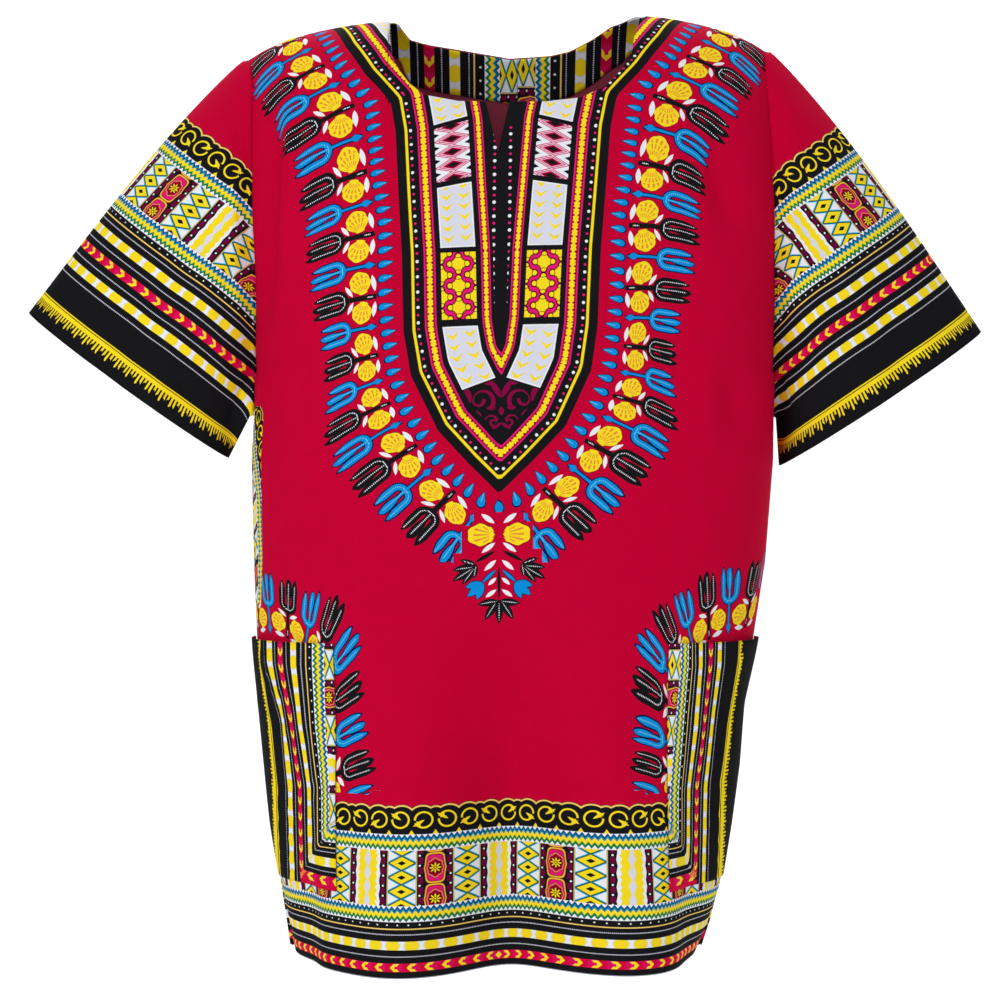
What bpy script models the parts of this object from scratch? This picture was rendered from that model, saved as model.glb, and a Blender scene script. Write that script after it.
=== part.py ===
"""A pull-over dashiki shirt, worn open and filled out, with no wearer.

The cloth hangs in one frame: +Z up, the front faces -Y, the wearer's left is +X, and the
origin is the middle of the neck opening at shoulder height. Every piece that a maker cuts
is a thin wall of its own: front, back, two sleeves, two patch pockets and the two halves of
the back neck facing.
"""

import math

import bpy
import numpy as np

# Cloth and seams, in metres.
WALL = 0.0012
SEAM_GAP = 0.0003
RIDGE_GAP = 0.0005
SEWN_CLEARANCE = 0.0006

# Heights: the hem, the underarm, and the level above which the cloth bends over the shoulder.
HEM_Z = -0.7755
UNDERARM_Z = -0.332
BEND_Z = -0.300

# The torso's rings, hem to shoulder. Squareness is the power of the oval: 2 is an ellipse.
RING_COLUMNS = ("height", "middle_x", "half_width", "front_depth", "back_depth", "squareness")
BODY_RINGS = (
    (-0.7755, -0.0115, 0.1712, 0.125, 0.118, 2.5),
    (-0.7543, -0.0090, 0.1768, 0.127, 0.119, 2.5),
    (-0.7207, -0.0068, 0.1842, 0.128, 0.120, 2.5),
    (-0.6700, -0.0063, 0.1914, 0.129, 0.121, 2.5),
    (-0.6200, -0.0053, 0.1970, 0.129, 0.121, 2.5),
    (-0.5695, -0.0058, 0.2014, 0.128, 0.120, 2.5),
    (-0.5190, -0.0026, 0.2064, 0.128, 0.120, 2.6),
    (-0.4520, 0.0012, 0.2131, 0.127, 0.119, 2.6),
    (-0.3680, 0.0036, 0.2172, 0.126, 0.118, 2.7),
    (-0.3320, 0.0048, 0.2165, 0.125, 0.117, 2.7),
    (-0.3000, 0.0055, 0.2160, 0.125, 0.116, 2.8),
)

# Over the shoulder the same oval bends up to the shoulder line, by degrees of bend.
# Half gap is how far the armhole's edge stands forward or back of the side, on the wall below.
SHOULDER_COLUMNS = ("bend_deg", "middle_x", "edge_half_width", "half_gap")
SHOULDER_RINGS = (
    (0.0, 0.0055, 0.2130, 0.030),
    (12.0, 0.0050, 0.2130, 0.047),
    (28.0, 0.0040, 0.2135, 0.056),
    (45.0, 0.0025, 0.2125, 0.060),
    (62.0, 0.0010, 0.2120, 0.058),
    (78.0, -0.0006, 0.2140, 0.050),
    (90.0, -0.0013, 0.2195, 0.045),
)

# The shoulder line seen from the front: level beside the neck, then down to the armhole.
SHOULDER_LINE_COLUMNS = ("from_middle", "height")
SHOULDER_LINE = (
    (0.000, 0.0018),
    (0.110, 0.0018),
    (0.135, -0.0010),
    (0.160, -0.0058),
    (0.185, -0.0124),
    (0.205, -0.0215),
    (0.225, -0.0335),
)
SHOULDER_TILT = 0.024
TILT_REACH = 0.130

# The side seams. The left one of the picture lies forward of the side above the pockets.
SEAM_COLUMNS = ("height", "right_side_depth", "left_side_depth")
SIDE_SEAMS = (
    (-0.7755, 0.002, 0.004),
    (-0.5190, 0.006, 0.006),
    (-0.4500, 0.030, 0.004),
    (-0.3320, 0.034, 0.000),
)

# The neck opening and the slit, seen from the front.
NECK_LEFT_X = 0.115
NECK_RIGHT_X = -0.099
NECK_COLUMNS = ("across", "height")
NECK_FRONT = (
    (-0.0990, 0.0060),
    (-0.0975, -0.0180),
    (-0.0950, -0.0385),
    (-0.0885, -0.0530),
    (-0.0800, -0.0650),
    (-0.0675, -0.0755),
    (-0.0400, -0.0812),
    (0.0300, -0.0816),
    (0.0580, -0.0782),
    (0.0790, -0.0675),
    (0.0917, -0.0530),
    (0.1000, -0.0385),
    (0.1040, -0.0180),
    (0.1150, 0.0060),
)
NECK_BACK = (
    (-0.0990, 0.0060),
    (-0.0828, -0.0093),
    (-0.0663, -0.0126),
    (-0.0324, -0.0170),
    (0.0019, -0.0218),
    (0.0362, -0.0196),
    (0.0532, -0.0163),
    (0.0701, -0.0090),
    (0.0866, -0.0004),
    (0.1029, 0.0040),
    (0.1150, 0.0060),
)
SLIT_X = -0.0085
SLIT_HALF_WIDTH = 0.0095
SLIT_DEPTH = 0.043

# Pocket edges on the front, and the depth of the neck facing in rows of the back panel.
POCKET_TOP_Z = -0.515
POCKET_BOTTOM_Z = -0.711
POCKET_EDGE_COLUMNS = ("height", "right_pocket_x", "left_pocket_x")
POCKET_INNER_EDGE = (
    (-0.711, -0.1320, 0.1197),
    (-0.515, -0.1390, 0.1260),
)
POCKET_MOUTH_STANDS = 0.0035
FACING_SEAM_X = 0.0085
FACING_ROWS = 4

# Folds of the body. A fold runs from its top to its foot; height is out of the cloth, so a
# trough is negative. Fades are the shares of its length over which it rises and dies away.
FOLD_COLUMNS = (
    "face", "top_x", "top_z", "foot_x", "foot_z", "half_width", "height", "fade_top", "fade_foot",
)
BODY_FOLDS = (
    ("front", 0.008, -0.420, 0.004, -0.790, 0.052, -0.046, 0.80, 0.0),
    ("front", -0.060, -0.480, -0.085, -0.790, 0.048, 0.020, 0.80, 0.0),
    ("front", 0.060, -0.470, 0.098, -0.790, 0.042, 0.021, 0.80, 0.0),
    ("front", -0.172, -0.600, -0.168, -0.790, 0.018, -0.010, 0.70, 0.0),
    ("front", 0.150, -0.600, 0.150, -0.790, 0.020, -0.007, 0.70, 0.0),
    ("front", -0.192, -0.070, -0.200, -0.280, 0.009, -0.011, 0.25, 0.35),
    ("front", 0.160, -0.090, 0.186, -0.200, 0.015, -0.008, 0.40, 0.40),
    ("front", 0.170, -0.270, 0.194, -0.370, 0.015, -0.006, 0.50, 0.40),
    ("front", 0.116, -0.160, 0.146, -0.430, 0.022, -0.005, 0.50, 0.50),
    ("back", -0.060, -0.380, -0.066, -0.790, 0.046, -0.034, 0.80, 0.0),
    ("back", 0.070, -0.360, 0.078, -0.790, 0.050, -0.038, 0.80, 0.0),
    ("back", 0.004, -0.420, 0.002, -0.790, 0.036, 0.015, 0.80, 0.0),
    ("back", 0.135, -0.480, 0.138, -0.790, 0.030, 0.010, 0.80, 0.0),
    ("back", -0.132, -0.460, -0.130, -0.790, 0.030, 0.010, 0.80, 0.0),
    ("back", 0.165, -0.110, 0.185, -0.290, 0.010, -0.009, 0.30, 0.40),
    ("back", -0.168, -0.120, -0.188, -0.300, 0.010, -0.008, 0.30, 0.40),
    ("back", 0.020, -0.110, 0.050, -0.260, 0.020, -0.005, 0.50, 0.50),
    ("back", -0.050, -0.120, -0.090, -0.280, 0.020, -0.004, 0.50, 0.50),
)

# Sleeves, seen from the front: corners of the cuff, how far the upper edge bows out, and how
# far the cloth stands forward and back at the cuff and between.
SLEEVE_COLUMNS = ("side", "cuff_outer_x", "cuff_outer_z", "cuff_inner_x", "cuff_inner_z", "bow")
SLEEVES = (
    (-1, -0.4020, -0.2440, -0.2345, -0.3660, 0.0065),
    (1, 0.3970, -0.2600, 0.2275, -0.3725, 0.0075),
)
SLEEVE_DEPTH_COLUMNS = ("along", "stands_out", "clear_of_side")
SLEEVE_DEPTHS = (
    (0.00, 0.000, 0.000),
    (0.08, 0.010, 0.006),
    (0.30, 0.016, 0.009),
    (0.60, 0.010, 0.006),
    (1.00, 0.000, 0.000),
)
CUFF_HALF_DEPTH = 0.050
CUFF_SQUARENESS = 1.8
CUFF_FRONT_DROP = 0.0020
BOW_CROWDING = 0.75
SLEEVE_SEAM_OUT = 0.0005
SLEEVE_STARTS_OUT = 0.0030

# Folds of the sleeves, on the plane seen from the front; the same columns as the body's.
SLEEVE_FOLDS = (
    ("front", -0.236, -0.110, -0.268, -0.250, 0.014, -0.007, 0.40, 0.50),
    ("front", -0.262, -0.080, -0.330, -0.200, 0.018, -0.004, 0.50, 0.50),
    ("front", -0.292, -0.230, -0.330, -0.300, 0.014, -0.004, 0.50, 0.0),
    ("front", 0.233, -0.045, 0.262, -0.080, 0.012, -0.007, 0.40, 0.50),
    ("front", 0.240, -0.120, 0.262, -0.270, 0.015, -0.005, 0.40, 0.50),
    ("front", 0.290, -0.180, 0.330, -0.310, 0.016, -0.004, 0.50, 0.0),
    ("back", -0.240, -0.100, -0.290, -0.260, 0.016, -0.008, 0.40, 0.50),
    ("back", -0.280, -0.090, -0.340, -0.220, 0.018, -0.005, 0.50, 0.50),
    ("back", 0.242, -0.100, 0.280, -0.270, 0.016, -0.008, 0.40, 0.50),
    ("back", 0.285, -0.100, 0.340, -0.240, 0.018, -0.005, 0.50, 0.50),
)

# How finely the walls are cut into faces.
INNER_COLUMN_SPACING = 0.021
OUTER_COLUMNS = 9
LOWER_ROWS = (-0.7755, -0.7440, -0.7110, -0.6790, -0.6460, -0.6130, -0.5800, -0.5475,
              -0.5150, -0.4820, -0.4450, -0.4050, -0.3680, -0.3320)
RISE_ROWS = (-0.3160, -0.3000)
BEND_ROWS = 13
BEND_CROWDING = 1.3
SLEEVE_ALONG = 13

# Colours of the printed cloth, as seen from a distance.
CRIMSON = (0.53, 0.004, 0.034)
BLACK = (0.012, 0.012, 0.014)
CLOTH_ROUGHNESS = 0.82


def column(table, names, name):
    """One named column of a table, as an array."""
    place = names.index(name)
    return np.array([row[place] for row in table])


def lookup(table, names, key, name, at):
    """The named column read at a value of the key column, straight between rows."""
    return np.interp(at, column(table, names, key), column(table, names, name))


def smooth_step(value):
    held = np.clip(value, 0.0, 1.0)
    return held * held * (3.0 - 2.0 * held)


def shoulder_height(x):
    level = lookup(SHOULDER_LINE, SHOULDER_LINE_COLUMNS, "from_middle", "height", np.abs(x))
    return level + SHOULDER_TILT * np.clip(x, -TILT_REACH, TILT_REACH)


def ring_size(name, height):
    return lookup(BODY_RINGS, RING_COLUMNS, "height", name, height)


def shoulder_size(name, bend):
    return lookup(SHOULDER_RINGS, SHOULDER_COLUMNS, "bend_deg", name, np.degrees(bend))


def angle_at_depth(depth, full_depth, squareness):
    """The oval's angle from the front at which it stands this far forward of the side."""
    share = np.clip(depth / full_depth, 0.0, 1.0)
    return np.arccos(share ** (squareness / 2.0))


def ring_shape(height, bend):
    """Middle, half width, front and back depth and squareness of the ring at each place.

    Below the bend the rings are read by height. Above it they are read by the bend, and the
    half width is the one that puts the armhole's edge where its table says.
    """
    squareness = ring_size("squareness", height)
    front = ring_size("front_depth", height)
    back = ring_size("back_depth", height)
    edge_angle = angle_at_depth(shoulder_size("half_gap", bend), front, squareness)
    edge_share = np.sin(edge_angle) ** (2.0 / squareness)
    above = bend > 0.0
    middle = np.where(above, shoulder_size("middle_x", bend), ring_size("middle_x", height))
    half = np.where(
        above, shoulder_size("edge_half_width", bend) / edge_share, ring_size("half_width", height)
    )
    return middle, half, front, back, squareness


def body_surface(angle, height, bend):
    """Points of the torso's cloth and the way out of it.

    Angle is 0 at the middle of the front, a quarter turn at each side and a half turn at the
    middle of the back, positive towards +X. Bend is 0 on the upright wall and a quarter turn
    at the shoulder line.
    """
    middle, half, front, back, squareness = ring_shape(height, bend)
    power = 2.0 / squareness
    across = np.sin(angle)
    ahead = np.cos(angle)
    x = middle + half * np.sign(across) * np.abs(across) ** power
    depth = np.where(ahead > 0.0, front, back)
    y = -depth * np.sign(ahead) * np.abs(ahead) ** power * np.cos(bend)
    z = height + (shoulder_height(x) - height) * np.sin(bend)
    points = np.stack([x, y, z], axis=-1)
    out = np.stack([across * np.cos(bend), -ahead * np.cos(bend), np.sin(bend)], axis=-1)
    face = np.where(ahead > 0.0, "front", "back")
    lift = fold_height(BODY_FOLDS, x, z, face)
    return points + out * lift[..., None], out


def fold_height(folds, x, z, face):
    """How far the folds lift the cloth at points seen from the front."""
    lift = np.zeros_like(x)
    for fold_face, top_x, top_z, foot_x, foot_z, half_width, height, fade_top, fade_foot in folds:
        run = np.array([foot_x - top_x, foot_z - top_z])
        length = np.hypot(*run)
        run = run / length
        along = ((x - top_x) * run[0] + (z - top_z) * run[1]) / length
        aside = (x - top_x) * run[1] - (z - top_z) * run[0]
        window = smooth_step(along / fade_top)
        if fade_foot > 0.0:
            window = window * smooth_step((1.0 - along) / fade_foot)
        profile = np.exp(-((aside / half_width) ** 2))
        lift = lift + np.where(face == fold_face, height * profile * window, 0.0)
    return lift


def neck_front_height(x):
    """Height of the front neck edge, with the slit's V cut into it."""
    edge = lookup(NECK_FRONT, NECK_COLUMNS, "across", "height", x)
    slit = SLIT_DEPTH * np.clip(1.0 - np.abs(x - SLIT_X) / SLIT_HALF_WIDTH, 0.0, 1.0)
    return edge - slit


def neck_back_height(x):
    return lookup(NECK_BACK, NECK_COLUMNS, "across", "height", x)


def neck_columns():
    """Places across the neck opening where a column of points ends on its edge."""
    edge_points = list(column(NECK_FRONT, NECK_COLUMNS, "across"))
    slit_points = [SLIT_X + share * SLIT_HALF_WIDTH for share in (-1.0, 0.0, 1.0)]
    places = sorted(edge_points + slit_points + [FACING_SEAM_X])
    filled = []
    for here, there in zip(places, places[1:]):
        count = max(1, math.ceil((there - here) / INNER_COLUMN_SPACING))
        filled += [here + (there - here) * step / count for step in range(count)]
    filled.append(places[-1])
    return np.array(filled)


def side_seam_angle(side, height):
    """The oval's angle of a side seam, from the front."""
    name = "left_side_depth" if side > 0 else "right_side_depth"
    forward = lookup(SIDE_SEAMS, SEAM_COLUMNS, "height", name, height)
    return angle_at_depth(forward, ring_size("front_depth", height), ring_size("squareness", height))


def edge_angle(side, face, height, bend):
    """Angle of a panel's edge: the side seam, then the armhole above the underarm."""
    seam = side_seam_angle(side, height)
    depth_name = "front_depth" if face == "front" else "back_depth"
    full = ring_size(depth_name, BEND_Z)
    gap = shoulder_size("half_gap", bend)
    open_angle = angle_at_depth(gap, full, ring_size("squareness", BEND_Z))
    if face == "back":
        open_angle = math.pi - open_angle
    share = np.clip((height - UNDERARM_Z) / (BEND_Z - UNDERARM_Z), 0.0, 1.0) ** 0.5
    return seam + (open_angle - seam) * share


def angle_at_x(x, face, height, bend):
    """Angle at which the front or back of a ring passes x."""
    middle, half, _, _, squareness = ring_shape(height, bend)
    share = np.clip((x - middle) / half, -1.0, 1.0)
    angle = np.arcsin(np.sign(share) * np.abs(share) ** (squareness / 2.0))
    return angle if face == "front" else math.pi - angle


def rows_of_column(x, face):
    """Height and bend of each point up one column, ending on the shoulder or neck edge."""
    top = shoulder_height(x)
    if NECK_RIGHT_X < x < NECK_LEFT_X:
        top = neck_front_height(x) if face == "front" else neck_back_height(x)
    share = (top - BEND_Z) / (shoulder_height(x) - BEND_Z)
    last_bend = math.asin(min(1.0, share))
    share = np.linspace(0.0, 1.0, BEND_ROWS + 1)[1:]
    bends = last_bend * (1.0 - (1.0 - share) ** BEND_CROWDING)
    heights = np.concatenate([LOWER_ROWS, RISE_ROWS, np.full(BEND_ROWS, BEND_Z)])
    return heights, np.concatenate([np.zeros(len(LOWER_ROWS) + len(RISE_ROWS)), bends])


def panel_angles(face):
    """Heights, bends and angles of every point of the front or back panel.

    Columns run from the wearer's right side (-X) to the left. The outermost columns on each
    side fan from the pocket's inner edge to the side seam and the armhole.
    """
    heights, bends, angles = [], [], []
    shares = np.sin(np.linspace(0.0, math.pi / 2.0, OUTER_COLUMNS + 1)) ** 1.15
    side_rows = rows_of_column(0.2, face)
    for side, edge_name in ((-1, "right_pocket_x"), (1, "left_pocket_x")):
        height, bend = side_rows
        inner_x = lookup(POCKET_INNER_EDGE, POCKET_EDGE_COLUMNS, "height", edge_name, height)
        inner = angle_at_x(inner_x, face, height, bend)
        edge = edge_angle(side, face, height, bend) * side
        if face == "back":
            inner = np.where(inner > math.pi, inner - 2.0 * math.pi, inner)
        fan = [inner + (edge - inner) * share for share in shares]
        if side < 0:
            fan.reverse()
        fans = [(height, bend, angle) for angle in fan]
        if side < 0:
            middle = []
            for x in neck_columns():
                column_height, column_bend = rows_of_column(x, face)
                angle = angle_at_x(np.full_like(column_height, x), face, column_height, column_bend)
                middle.append((column_height, column_bend, angle))
            fans += middle
        for height, bend, angle in fans:
            heights.append(height)
            bends.append(bend)
            angles.append(angle)
    return np.array(heights).T, np.array(bends).T, np.array(angles).T


def draw_in(grid, edge, amount):
    """Moves one edge of a grid of points towards the row or column beside it."""
    places = {
        "left": (np.s_[:, 0], np.s_[:, 1]),
        "right": (np.s_[:, -1], np.s_[:, -2]),
        "top": (np.s_[-1, :], np.s_[-2, :]),
        "bottom": (np.s_[0, :], np.s_[1, :]),
    }
    here, beside = places[edge]
    away = grid[beside] - grid[here]
    grid[here] += away / np.linalg.norm(away, axis=-1, keepdims=True) * amount


def panel_points(face):
    height, bend, angle = panel_angles(face)
    points, out = body_surface(angle, height, bend)
    for edge in ("left", "right"):
        draw_in(points, edge, SEAM_GAP / 2.0)
    draw_in(points, "top", RIDGE_GAP / 2.0)
    return points, out


def faces_of_grid(rows, columns, wrap):
    """Quads of a grid of points; wrap joins the last column to the first."""
    around = columns if wrap else columns - 1
    return [
        (
            row * columns + col,
            row * columns + (col + 1) % columns,
            (row + 1) * columns + (col + 1) % columns,
            (row + 1) * columns + col,
        )
        for row in range(rows - 1)
        for col in range(around)
    ]


def cloth(name, grid, colour, wrap=False, turn_over=False):
    """One cut piece: an open sheet through a grid of points, made a wall of cloth."""
    rows, columns = grid.shape[:2]
    faces = faces_of_grid(rows, columns, wrap)
    if turn_over:
        faces = [tuple(reversed(face)) for face in faces]
    mesh = bpy.data.meshes.new(name)
    mesh.from_pydata([tuple(point) for point in grid.reshape(-1, 3)], [], faces)
    mesh.shade_smooth()
    mesh.materials.append(material(name, colour))
    piece = bpy.data.objects.new(name, mesh)
    garment.objects.link(piece)
    wall = piece.modifiers.new("wall", "SOLIDIFY")
    wall.thickness = WALL
    wall.offset = -1.0
    return piece


def material(name, colour):
    finish = bpy.data.materials.new(name)
    finish.use_nodes = True
    shader = finish.node_tree.nodes["Principled BSDF"]
    shader.inputs["Base Color"].default_value = (*colour, 1.0)
    shader.inputs["Roughness"].default_value = CLOTH_ROUGHNESS
    shader.inputs["Metallic"].default_value = 0.0
    return finish


def armhole_loop(side):
    """The armhole all round, through the panels' own edge points, and its turn at each.

    It starts on the shoulder line, goes down the front edge to the underarm and up the back.
    Turn is measured along the edge: 0 at the shoulder and half a turn at the underarm.
    """
    edge = -1 if side > 0 else 0
    rows = np.s_[LOWER_ROWS.index(UNDERARM_Z) :]
    front = front_points[rows, edge][::-1]
    back = back_points[rows, edge]
    shoulder = (front[0] + back[-1]) / 2.0
    underarm = (front[-1] + back[0]) / 2.0
    loop = np.concatenate([[shoulder], front[1:-1], [underarm], back[1:-1]])
    loop[:, 0] += side * SLEEVE_SEAM_OUT
    turns = []
    for half in (loop[: len(front)], np.concatenate([loop[len(front) - 1 :], loop[:1]])):
        steps = np.linalg.norm(np.diff(half, axis=0), axis=1)
        turns.append(math.pi * np.concatenate([[0.0], np.cumsum(steps)])[:-1] / steps.sum())
    return loop, np.concatenate([turns[0], math.pi + turns[1]])


def cuff_loop(turn, outer_x, outer_z, inner_x, inner_z):
    """The cuff's edge: an oval across the line between its outer and inner corners."""
    power = 2.0 / CUFF_SQUARENESS
    across = 0.5 - 0.5 * np.sign(np.cos(turn)) * np.abs(np.cos(turn)) ** power
    depth = -CUFF_HALF_DEPTH * np.sign(np.sin(turn)) * np.abs(np.sin(turn)) ** power
    length = math.hypot(inner_x - outer_x, inner_z - outer_z)
    down = np.array([-abs(inner_z - outer_z) * np.sign(inner_x), -abs(inner_x - outer_x)]) / length
    drop = CUFF_FRONT_DROP * np.sin(turn)
    x = outer_x + (inner_x - outer_x) * across - down[0] * drop
    z = outer_z + (inner_z - outer_z) * across + down[1] * drop
    return np.stack([x, depth, z], axis=-1)


def sleeve_points(side, outer_x, outer_z, inner_x, inner_z, bow):
    """A tube lofted from the armhole's loop to the cuff's."""
    seam, turn = armhole_loop(side)
    start = seam + np.array([side * SLEEVE_STARTS_OUT, 0.0, 0.0])
    end = cuff_loop(turn, outer_x, outer_z, inner_x, inner_z)
    along = np.linspace(0.0, 1.0, SLEEVE_ALONG + 1)[:, None]
    grid = start + (end - start) * along[..., None]
    upper = np.clip(np.cos(turn), 0.0, 1.0) ** 2
    run = end[0] - start[0]
    outward = np.array([side * -run[2], 0.0, side * run[0]]) / np.hypot(run[0], run[2])
    grid += outward * (bow * np.sin(math.pi * along ** BOW_CROWDING) * upper)[..., None]
    lower = np.clip(0.4 - np.cos(turn), 0.0, 1.0) * np.sqrt(np.abs(np.sin(turn)))
    grid[..., 0] += side * sleeve_size("clear_of_side", along) * lower
    face = np.where(np.sin(turn) > 0.0, "front", "back")
    face = np.broadcast_to(face, grid.shape[:2])
    lift = fold_height(SLEEVE_FOLDS, grid[..., 0], grid[..., 2], face)
    grid[..., 1] -= (sleeve_size("stands_out", along) + lift) * np.sin(turn)
    return np.concatenate([seam[None], grid])


def sleeve_size(name, along):
    return lookup(SLEEVE_DEPTHS, SLEEVE_DEPTH_COLUMNS, "along", name, along)


def pocket_points(side, points, out):
    """A pocket made from the front panel's own points, moved out, its mouth standing open."""
    first = LOWER_ROWS.index(POCKET_BOTTOM_Z)
    last = LOWER_ROWS.index(POCKET_TOP_Z)
    rows = np.s_[first : last + 1]
    columns = np.s_[: OUTER_COLUMNS + 1] if side < 0 else np.s_[-OUTER_COLUMNS - 1 :]
    grid = points[rows, columns].copy()
    direction = out[rows, columns]
    up = np.linspace(0.0, 1.0, last - first + 1)[:, None]
    across = np.linspace(0.0, 1.0, OUTER_COLUMNS + 1)[None, :]
    stands = POCKET_MOUTH_STANDS * smooth_step(up * 3.0 - 2.0) * np.sin(math.pi * across)
    grid += direction * (WALL + SEWN_CLEARANCE + stands)[..., None]
    return grid


def facing_points(half, points, out):
    """Half of the back neck facing, made from the back panel's points, moved in."""
    places = neck_columns()
    seam = int(np.argmin(np.abs(places - FACING_SEAM_X))) + OUTER_COLUMNS + 1
    first = OUTER_COLUMNS
    last = OUTER_COLUMNS + len(places) + 1
    columns = np.s_[first : seam + 1] if half < 0 else np.s_[seam : last + 1]
    rows = np.s_[-FACING_ROWS - 1 :]
    grid = points[rows, columns] - out[rows, columns] * (WALL + SEWN_CLEARANCE)
    draw_in(grid, "right" if half < 0 else "left", SEAM_GAP / 2.0)
    return grid


for thing in list(bpy.data.objects):
    bpy.data.objects.remove(thing)

garment = bpy.data.collections.new("dashiki_shirt")
bpy.context.scene.collection.children.link(garment)

front_points, front_out = panel_points("front")
back_points, back_out = panel_points("back")

cloth("front_panel", front_points, CRIMSON)
cloth("back_panel", back_points, CRIMSON, turn_over=True)

for row in SLEEVES:
    side_name = "left" if row[0] > 0 else "right"
    cloth(f"sleeve_{side_name}", sleeve_points(*row), CRIMSON, wrap=True, turn_over=row[0] > 0)
    pocket = pocket_points(row[0], front_points, front_out)
    cloth(f"pocket_{side_name}", pocket, BLACK)
    facing = facing_points(row[0], back_points, back_out)
    cloth(f"neck_facing_{side_name}", facing, BLACK, turn_over=True)
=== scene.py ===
# %% [markdown]
# # A dashiki shirt
# This lesson dresses the plain model of a printed pull-over shirt. The shirt is eight cut
# pieces of cotton: front, back, two sleeves, two patch pockets and the two halves of the
# neck facing. The plain model gives their places, and this script makes each one again as
# thin cloth with its creases, its woven surface and its printed pattern.

import math

import bpy
import numpy as np
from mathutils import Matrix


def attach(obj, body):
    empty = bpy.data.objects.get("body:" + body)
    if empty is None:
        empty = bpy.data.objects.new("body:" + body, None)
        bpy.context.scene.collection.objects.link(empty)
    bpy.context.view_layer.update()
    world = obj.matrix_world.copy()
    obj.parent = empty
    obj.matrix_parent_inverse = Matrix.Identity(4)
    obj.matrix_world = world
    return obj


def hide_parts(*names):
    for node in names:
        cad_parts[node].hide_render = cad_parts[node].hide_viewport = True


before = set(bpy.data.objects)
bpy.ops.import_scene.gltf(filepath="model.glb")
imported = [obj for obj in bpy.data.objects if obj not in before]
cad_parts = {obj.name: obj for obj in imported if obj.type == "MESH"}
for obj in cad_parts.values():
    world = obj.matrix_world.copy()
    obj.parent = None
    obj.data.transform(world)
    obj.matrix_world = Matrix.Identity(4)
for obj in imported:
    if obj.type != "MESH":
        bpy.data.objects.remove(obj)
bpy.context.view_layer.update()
print("solids:", sorted(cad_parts))

# %% [markdown]
# ## Studio and camera
# The photograph looks straight at the front of the shirt from chest height, so the camera is
# level and a little under two metres away. A long lens keeps the sleeves from spreading. The
# room is a pale floor that curves up into a wall, because a curve has no edge to show. The
# wall is far enough away for a camera to stand behind the shirt too. Large soft lamps stand
# in front and overhead, the left one brightest, so that the folds shade gently, and one
# more lights the wall.

# %% Studio and camera
PICTURE_WIDTH = 0.840
CAMERA_DISTANCE = 1.900
CAMERA_X = -0.0067
CAMERA_Z = -0.4015
SENSOR = 36.0
FLOOR_Z = -1.400
FLOOR_FRONT_Y = -4.0
WALL_Y = 3.2
WALL_TOP_Z = 3.0
ROOM_WIDTH = 6.0
ROOM_BEND = 0.8
ROOM_BEND_POINTS = 17
PALE = (0.86, 0.86, 0.86)
PAPER_ROUGHNESS = 0.9
CHEST = (0.0, 0.0, -0.35)
LAMPS = (
    # name, size, watts, place, aim
    ("front left", 1.6, 32.0, (-1.6, -2.3, 0.5), CHEST),
    ("front right", 1.6, 13.0, (1.7, -2.3, 0.3), CHEST),
    ("overhead", 1.8, 3.0, (0.0, -0.3, 1.7), CHEST),
    ("wall wash", 2.4, 130.0, (0.0, 1.9, 2.3), (0.0, WALL_Y, -0.2)),
)
ROOM_LIGHT = 0.42

scene = bpy.context.scene
scene.view_settings.view_transform = "Standard"


def new_object(name, data):
    thing = bpy.data.objects.new(name, data)
    scene.collection.objects.link(thing)
    return thing


def add_camera():
    lens = bpy.data.cameras.new("camera")
    lens.sensor_width = SENSOR
    lens.lens = SENSOR * CAMERA_DISTANCE / PICTURE_WIDTH
    camera = new_object("camera", lens)
    camera.location = (CAMERA_X, -CAMERA_DISTANCE, CAMERA_Z)
    camera.rotation_euler = (math.pi / 2.0, 0.0, 0.0)
    scene.camera = camera


def add_lamp(name, size, watts, place, aim):
    light = bpy.data.lights.new(name, "AREA")
    light.shape = "SQUARE"
    light.size = size
    light.energy = watts
    lamp = new_object(name, light)
    lamp.location = place
    away = np.array(place) - np.array(aim)
    flat = math.hypot(away[0], away[1])
    lamp.rotation_euler = (math.atan2(flat, away[2]), 0.0, math.atan2(away[0], -away[1]))


def add_room():
    """A floor that turns up into a wall along a quarter circle."""
    profile = [(FLOOR_FRONT_Y, FLOOR_Z)]
    for turn in np.linspace(0.0, math.pi / 2.0, ROOM_BEND_POINTS):
        y = WALL_Y - ROOM_BEND + ROOM_BEND * math.sin(turn)
        profile.append((y, FLOOR_Z + ROOM_BEND - ROOM_BEND * math.cos(turn)))
    profile.append((WALL_Y, WALL_TOP_Z))
    points = [(side * ROOM_WIDTH / 2.0, y, z) for y, z in profile for side in (-1, 1)]
    faces = [(i, i + 1, i + 3, i + 2) for i in range(0, len(points) - 2, 2)]
    mesh = bpy.data.meshes.new("floor")
    mesh.from_pydata(points, [], faces)
    mesh.shade_smooth()
    room = new_object("floor", mesh)
    finish = bpy.data.materials.new("pale paper")
    finish.use_nodes = True
    shader = finish.node_tree.nodes["Principled BSDF"]
    shader.inputs["Base Color"].default_value = (*PALE, 1.0)
    shader.inputs["Roughness"].default_value = PAPER_ROUGHNESS
    mesh.materials.append(finish)


add_camera()
add_room()
for lamp_row in LAMPS:
    add_lamp(*lamp_row)
world = bpy.data.worlds.new("room light")
world.use_nodes = True
background = world.node_tree.nodes["Background"]
background.inputs["Color"].default_value = (1.0, 1.0, 1.0, 1.0)
background.inputs["Strength"].default_value = ROOM_LIGHT
scene.world = world
print("camera", tuple(round(c, 3) for c in scene.camera.location))

# %% [markdown]
# ## The shape of the body
# A T-shaped shirt is cut flat, and it takes its form from the wearer's shoulders and from its
# own weight. It could be a cloth simulation, but then each run would need the same long
# fall. Here the body is a stack of ovals from hem to chest, which then bends over to the
# shoulder line. The sizes are those of the plain model, so the cloth lies where the solids
# are.

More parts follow.
